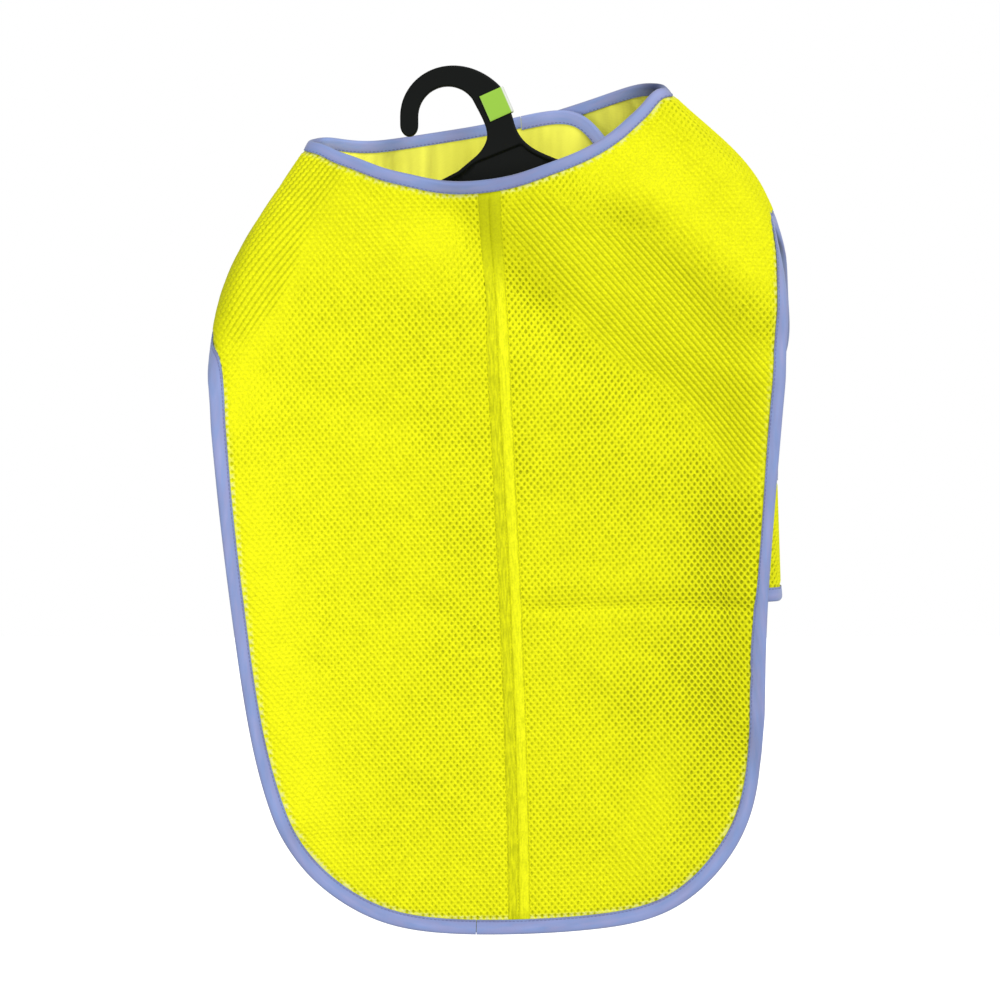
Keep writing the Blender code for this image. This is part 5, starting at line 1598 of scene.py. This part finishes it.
def hanger_outline():
    """Clockwise from the hook's tip over the hook, down the right side and back by the left."""
    widths = HOOK_WIDTH_TIP + (HOOK_WIDTH_SHANK - HOOK_WIDTH_TIP) * np.linspace(0, 1, 33) ** 3.5
    outer = arc(HOOK_CENTRE, HOOK_INSIDE + widths, 180, HOOK_LEAVES_ANGLE - 6, 33)
    inner = arc(HOOK_CENTRE, HOOK_INSIDE, HOOK_LEAVES_ANGLE, 180, 33)
    end = np.array([HOOK_CENTRE[0] - HOOK_INSIDE - HOOK_WIDTH_TIP / 2, HOOK_CENTRE[1] - HOOK_TIP_DROP])
    turn = np.linspace(0, math.pi, 17)
    tip = end + np.stack([np.cos(turn) * HOOK_WIDTH_TIP / 2, -np.sin(turn) * HOOK_TIP_ROUND], axis=-1)
    right_tip = arc(RIGHT_ARM_TIP, ARM_TIP_RADIUS, 70, -110, 13)
    left_tip = arc(LEFT_ARM_TIP, ARM_TIP_RADIUS, -60, -240, 13)
    right = np.concatenate([outer[-1:], [SHANK_RIGHT], NECK_RIGHT])
    left = np.concatenate([NECK_LEFT[::-1], [SHANK_LEFT], inner[:1]])
    return np.concatenate([
        outer[:-1], rounded(right), bent(NECK_RIGHT[-1], right_tip[0], ARM_SAG, 9), right_tip,
        bent(right_tip[-1], ARM_UNDERSIDE, ARM_SAG, 9), [ARM_UNDERSIDE],
        bent(ARM_UNDERSIDE, left_tip[0], ARM_SAG, 9), left_tip,
        bent(left_tip[-1], NECK_LEFT[-1], ARM_SAG, 9),
        rounded(left)[:-1], inner, tip,
    ])


def evenly(outline, step):
    """The closed outline with its points about one step apart."""
    closed = np.concatenate([outline, outline[:1]])
    length = travelled(closed)
    at = np.linspace(0, length[-1], int(length[-1] / step) + 1)[:-1]
    return np.stack([np.interp(at, length, closed[:, k]) for k in (0, 1)], axis=-1)


def within(points, outline):
    """How far inside the outline each point lies, and negative outside it."""
    start, run = outline, np.roll(outline, -1, axis=0) - outline
    to = points[:, None] - start
    share = np.clip(np.sum(to * run, axis=-1) / np.sum(run * run, axis=-1), 0, 1)
    distance = np.linalg.norm(to - share[..., None] * run, axis=-1).min(axis=1)
    low, high = start[:, 1], start[:, 1] + run[:, 1]
    crosses = (low <= points[:, 1:]) != (high <= points[:, 1:])
    rise = np.where(run[:, 1] == 0, 1.0, run[:, 1])
    ahead = start[:, 0] + (points[:, 1:] - low) * run[:, 0] / rise > points[:, :1]
    return np.where((crosses & ahead).sum(axis=1) % 2, distance, -distance)


def hanger():
    """The plate's two faces, one half of its thickness each side of Y = 0, and the band between them."""
    outline = evenly(hanger_outline(), OUTLINE_STEP)
    ahead = unit(np.roll(outline, -1, axis=0) - np.roll(outline, 1, axis=0))
    inwards = np.stack([ahead[:, 1], -ahead[:, 0]], axis=-1)
    low, high = outline.min(axis=0), outline.max(axis=0)
    grid = np.meshgrid(*[np.arange(a, b, FACE_STEP) for a, b in zip(low, high)])
    grid = np.stack(grid, axis=-1).reshape(-1, 2)
    start, stop = np.array(RECESS_LINE)
    below = unit(np.array([stop[1] - start[1], start[0] - stop[0]]))
    line = start + np.linspace(-0.2, 1.2, 40)[:, None] * (stop - start)
    line = (line[:, None] + np.linspace(-0.4, RECESS_SLOPE + 0.4, 6)[:, None] * below).reshape(-1, 2)
    rings = np.concatenate([outline + inwards * ring for ring in RINGS])
    ring_in = np.repeat(RINGS, len(outline))
    rings = rings[within(rings, outline) > ring_in - 0.05]
    beside = np.abs((grid - start) @ below - RECESS_SLOPE / 2) > RECESS_CLEAR
    grid = grid[(within(grid, outline) > RINGS[-1] + 1) & beside]
    line = line[within(line, outline) > RINGS[-1] + 0.5]
    flat = np.concatenate([outline, rings, grid, line])
    edge = np.arange(len(outline))
    edges = np.stack([edge, np.roll(edge, -1)], axis=-1)
    made = delaunay_2d_cdt([Vector(at) for at in flat], edges.tolist(), [], 1, 1e-4)
    flat, faces = np.array([list(at) for at in made[0]]), np.array(made[2])
    inside = np.maximum(within(flat, outline), 0)
    blend = smoothstep((flat[:, 1] - ARM_PLATE_BELOW) / PLATE_BLEND)
    half = (ARM_PLATE + (HOOK_PLATE - ARM_PLATE) * blend) / 2
    short = MOULD_ROUND - np.minimum(inside, MOULD_ROUND)
    half -= MOULD_ROUND - np.sqrt(MOULD_ROUND**2 - short**2)
    walls = smoothstep((inside - RECESS_RIM) / RECESS_SIDE)
    half -= RECESS_DEEP * walls * smoothstep((flat - start) @ below / RECESS_SLOPE)
    points = np.concatenate([np.stack([flat[:, 0], sign * half, flat[:, 1]], axis=-1) for sign in (-1, 1)])
    band = np.stack([edges[:, 0], edges[:, 1], edges[:, 1] + len(flat), edges[:, 0] + len(flat)], axis=-1)
    faces = [np.concatenate([faces, faces[:, ::-1] + len(flat)]), band]
    return piece("moulded_hanger", points, faces, HANGER_FINISH, ["hanger"], sharp=50)


def satin_plastic(name, hex_colour, roughness, level, grain):
    """Injection-moulded plastic with a fine spark-eroded grain, which dulls its gloss a little unevenly."""
    made, tree, shader = bare_finish(name)
    place = node(tree, "ShaderNodeTexCoord").outputs["Object"]
    fine = node(tree, "ShaderNodeTexNoise", {"Vector": place, "Scale": 2600.0, "Detail": 2.0})
    worn = node(tree, "ShaderNodeTexNoise", {"Vector": place, "Scale": 60.0, "Detail": 3.0})
    rough = node(tree, "ShaderNodeMapRange",
                 {"Value": worn.outputs["Fac"], 3: roughness - 0.06, 4: roughness + 0.06})
    bump = node(tree, "ShaderNodeBump",
                {"Height": fine.outputs["Fac"], "Strength": grain, "Distance": 0.0001})
    feed(tree, shader, {"Base Color": linear(hex_colour), "Roughness": rough.outputs[0],
                        "Normal": bump.outputs[0], "Specular IOR Level": level})
    return made


HANGER_FINISH = satin_plastic("moulded polypropylene, black", "#0B0E0C", 0.5, 0.12, 0.3)
hanger()

# %% [markdown]
# ## Size clip
#
# A green marker saddles the shank from its outer edge. It is one thin wall, bent twice: its legs are green,
# and its fold is left pale. It carries no lettering here.

# %% The size clip
CLIP_MIDDLE, CLIP_LEAN = np.array([44.4, -10.2]), math.radians(24)
CLIP_REACH, CLIP_CLEAR, CLIP_WALL, CLIP_LENGTH = 17.8, 0.5, 1.3, 20.5
CLIP_BEND = 1.0  # radius of its two bends, at the middle of its wall
CLIP_GREEN_TO = -0.4  # mm from the shank's edge, where the green ends
CLIP_GAP = 0.3  # from the shank's faces to the clip


def size_clip():
    """The wall's middle line from leg to leg round the fold, thickened and carried down the shank."""
    leg, fold = HOOK_PLATE / 2 + CLIP_GAP + CLIP_WALL / 2, CLIP_CLEAR + CLIP_WALL / 2
    corner = np.array([fold - CLIP_BEND, leg - CLIP_BEND])
    straight = np.linspace(-CLIP_REACH, corner[0], 24)[:-1]
    bend = arc(corner, CLIP_BEND, 90, 0, 7)
    half = np.concatenate([np.stack([straight, straight * 0 + leg], axis=-1), bend])
    middle = np.concatenate([half, half[::-1] * (1, -1)])
    ahead = unit(np.gradient(middle, axis=0))
    outwards = np.stack([-ahead[:, 1], ahead[:, 0]], axis=-1)
    rows = CLIP_LENGTH * np.array([-0.5, -0.488, -0.46, *np.linspace(-0.4, 0.4, 9), 0.46, 0.488, 0.5])
    from_end = np.minimum(CLIP_LENGTH / 2 - np.abs(rows)[None], (middle[:, 0] + CLIP_REACH)[:, None])
    thick = CLIP_WALL / 2 * (0.55 + 0.45 * smoothstep(from_end / 0.6))
    down = np.array([math.sin(CLIP_LEAN), -math.cos(CLIP_LEAN)])
    out = np.array([math.cos(CLIP_LEAN), math.sin(CLIP_LEAN)])

    def face(offset):
        section = middle[:, None] + outwards[:, None] * offset[..., None]
        at = CLIP_MIDDLE + rows[None, :, None] * down + section[..., :1] * out
        return np.stack([at[..., 0], section[..., 1], at[..., 1]], axis=-1)

    points, faces = wall(face(thick), face(-thick))
    pale = smoothstep((middle[:, 0] - CLIP_GREEN_TO) / 0.5 + 0.5)
    pale = np.tile(np.repeat(pale, len(rows)), 2)
    return piece("size_marker", points, [faces], CLIP_FINISH, ["size_clip"],
                 {"pale": pale}, sharp=50)


CLIP_FINISH = satin_plastic("glossy polystyrene, leaf green with a pale fold", "#8FC72F", 0.3, 0.4, 0.1)
tree = CLIP_FINISH.node_tree
pale = node(tree, "ShaderNodeAttribute", attribute_name="pale").outputs["Fac"]
colour = node(tree, "ShaderNodeValToRGB", {"Fac": pale},
              stops=[(0.0, "#9FD244"), (1.0, "#E2E6DC"), (0.5, "#B4D876")])
feed(tree, tree.nodes["Principled BSDF"], {"Base Color": colour.outputs[0]})
size_clip()

# %% [markdown]
# ## What is cloth
#
# Each half, each lining and each strap is a sheet of cloth that hangs from the hanger. Here the size of
# each half's flat cut is worked out from the ring round its net.


for side_name, made in halves.items():
    net = nets[side_name][2]
    ring = np.concatenate([net[:, 0], net[-1, 1:], net[-2::-1, -1], net[0, -2:0:-1]])
    size = (ring.max(axis=0) - ring.min(axis=0)) * MM
    tuple(size)
    tuple(size)

# %% Sizes
print("triangles in all:", sum(made_triangles.values()))
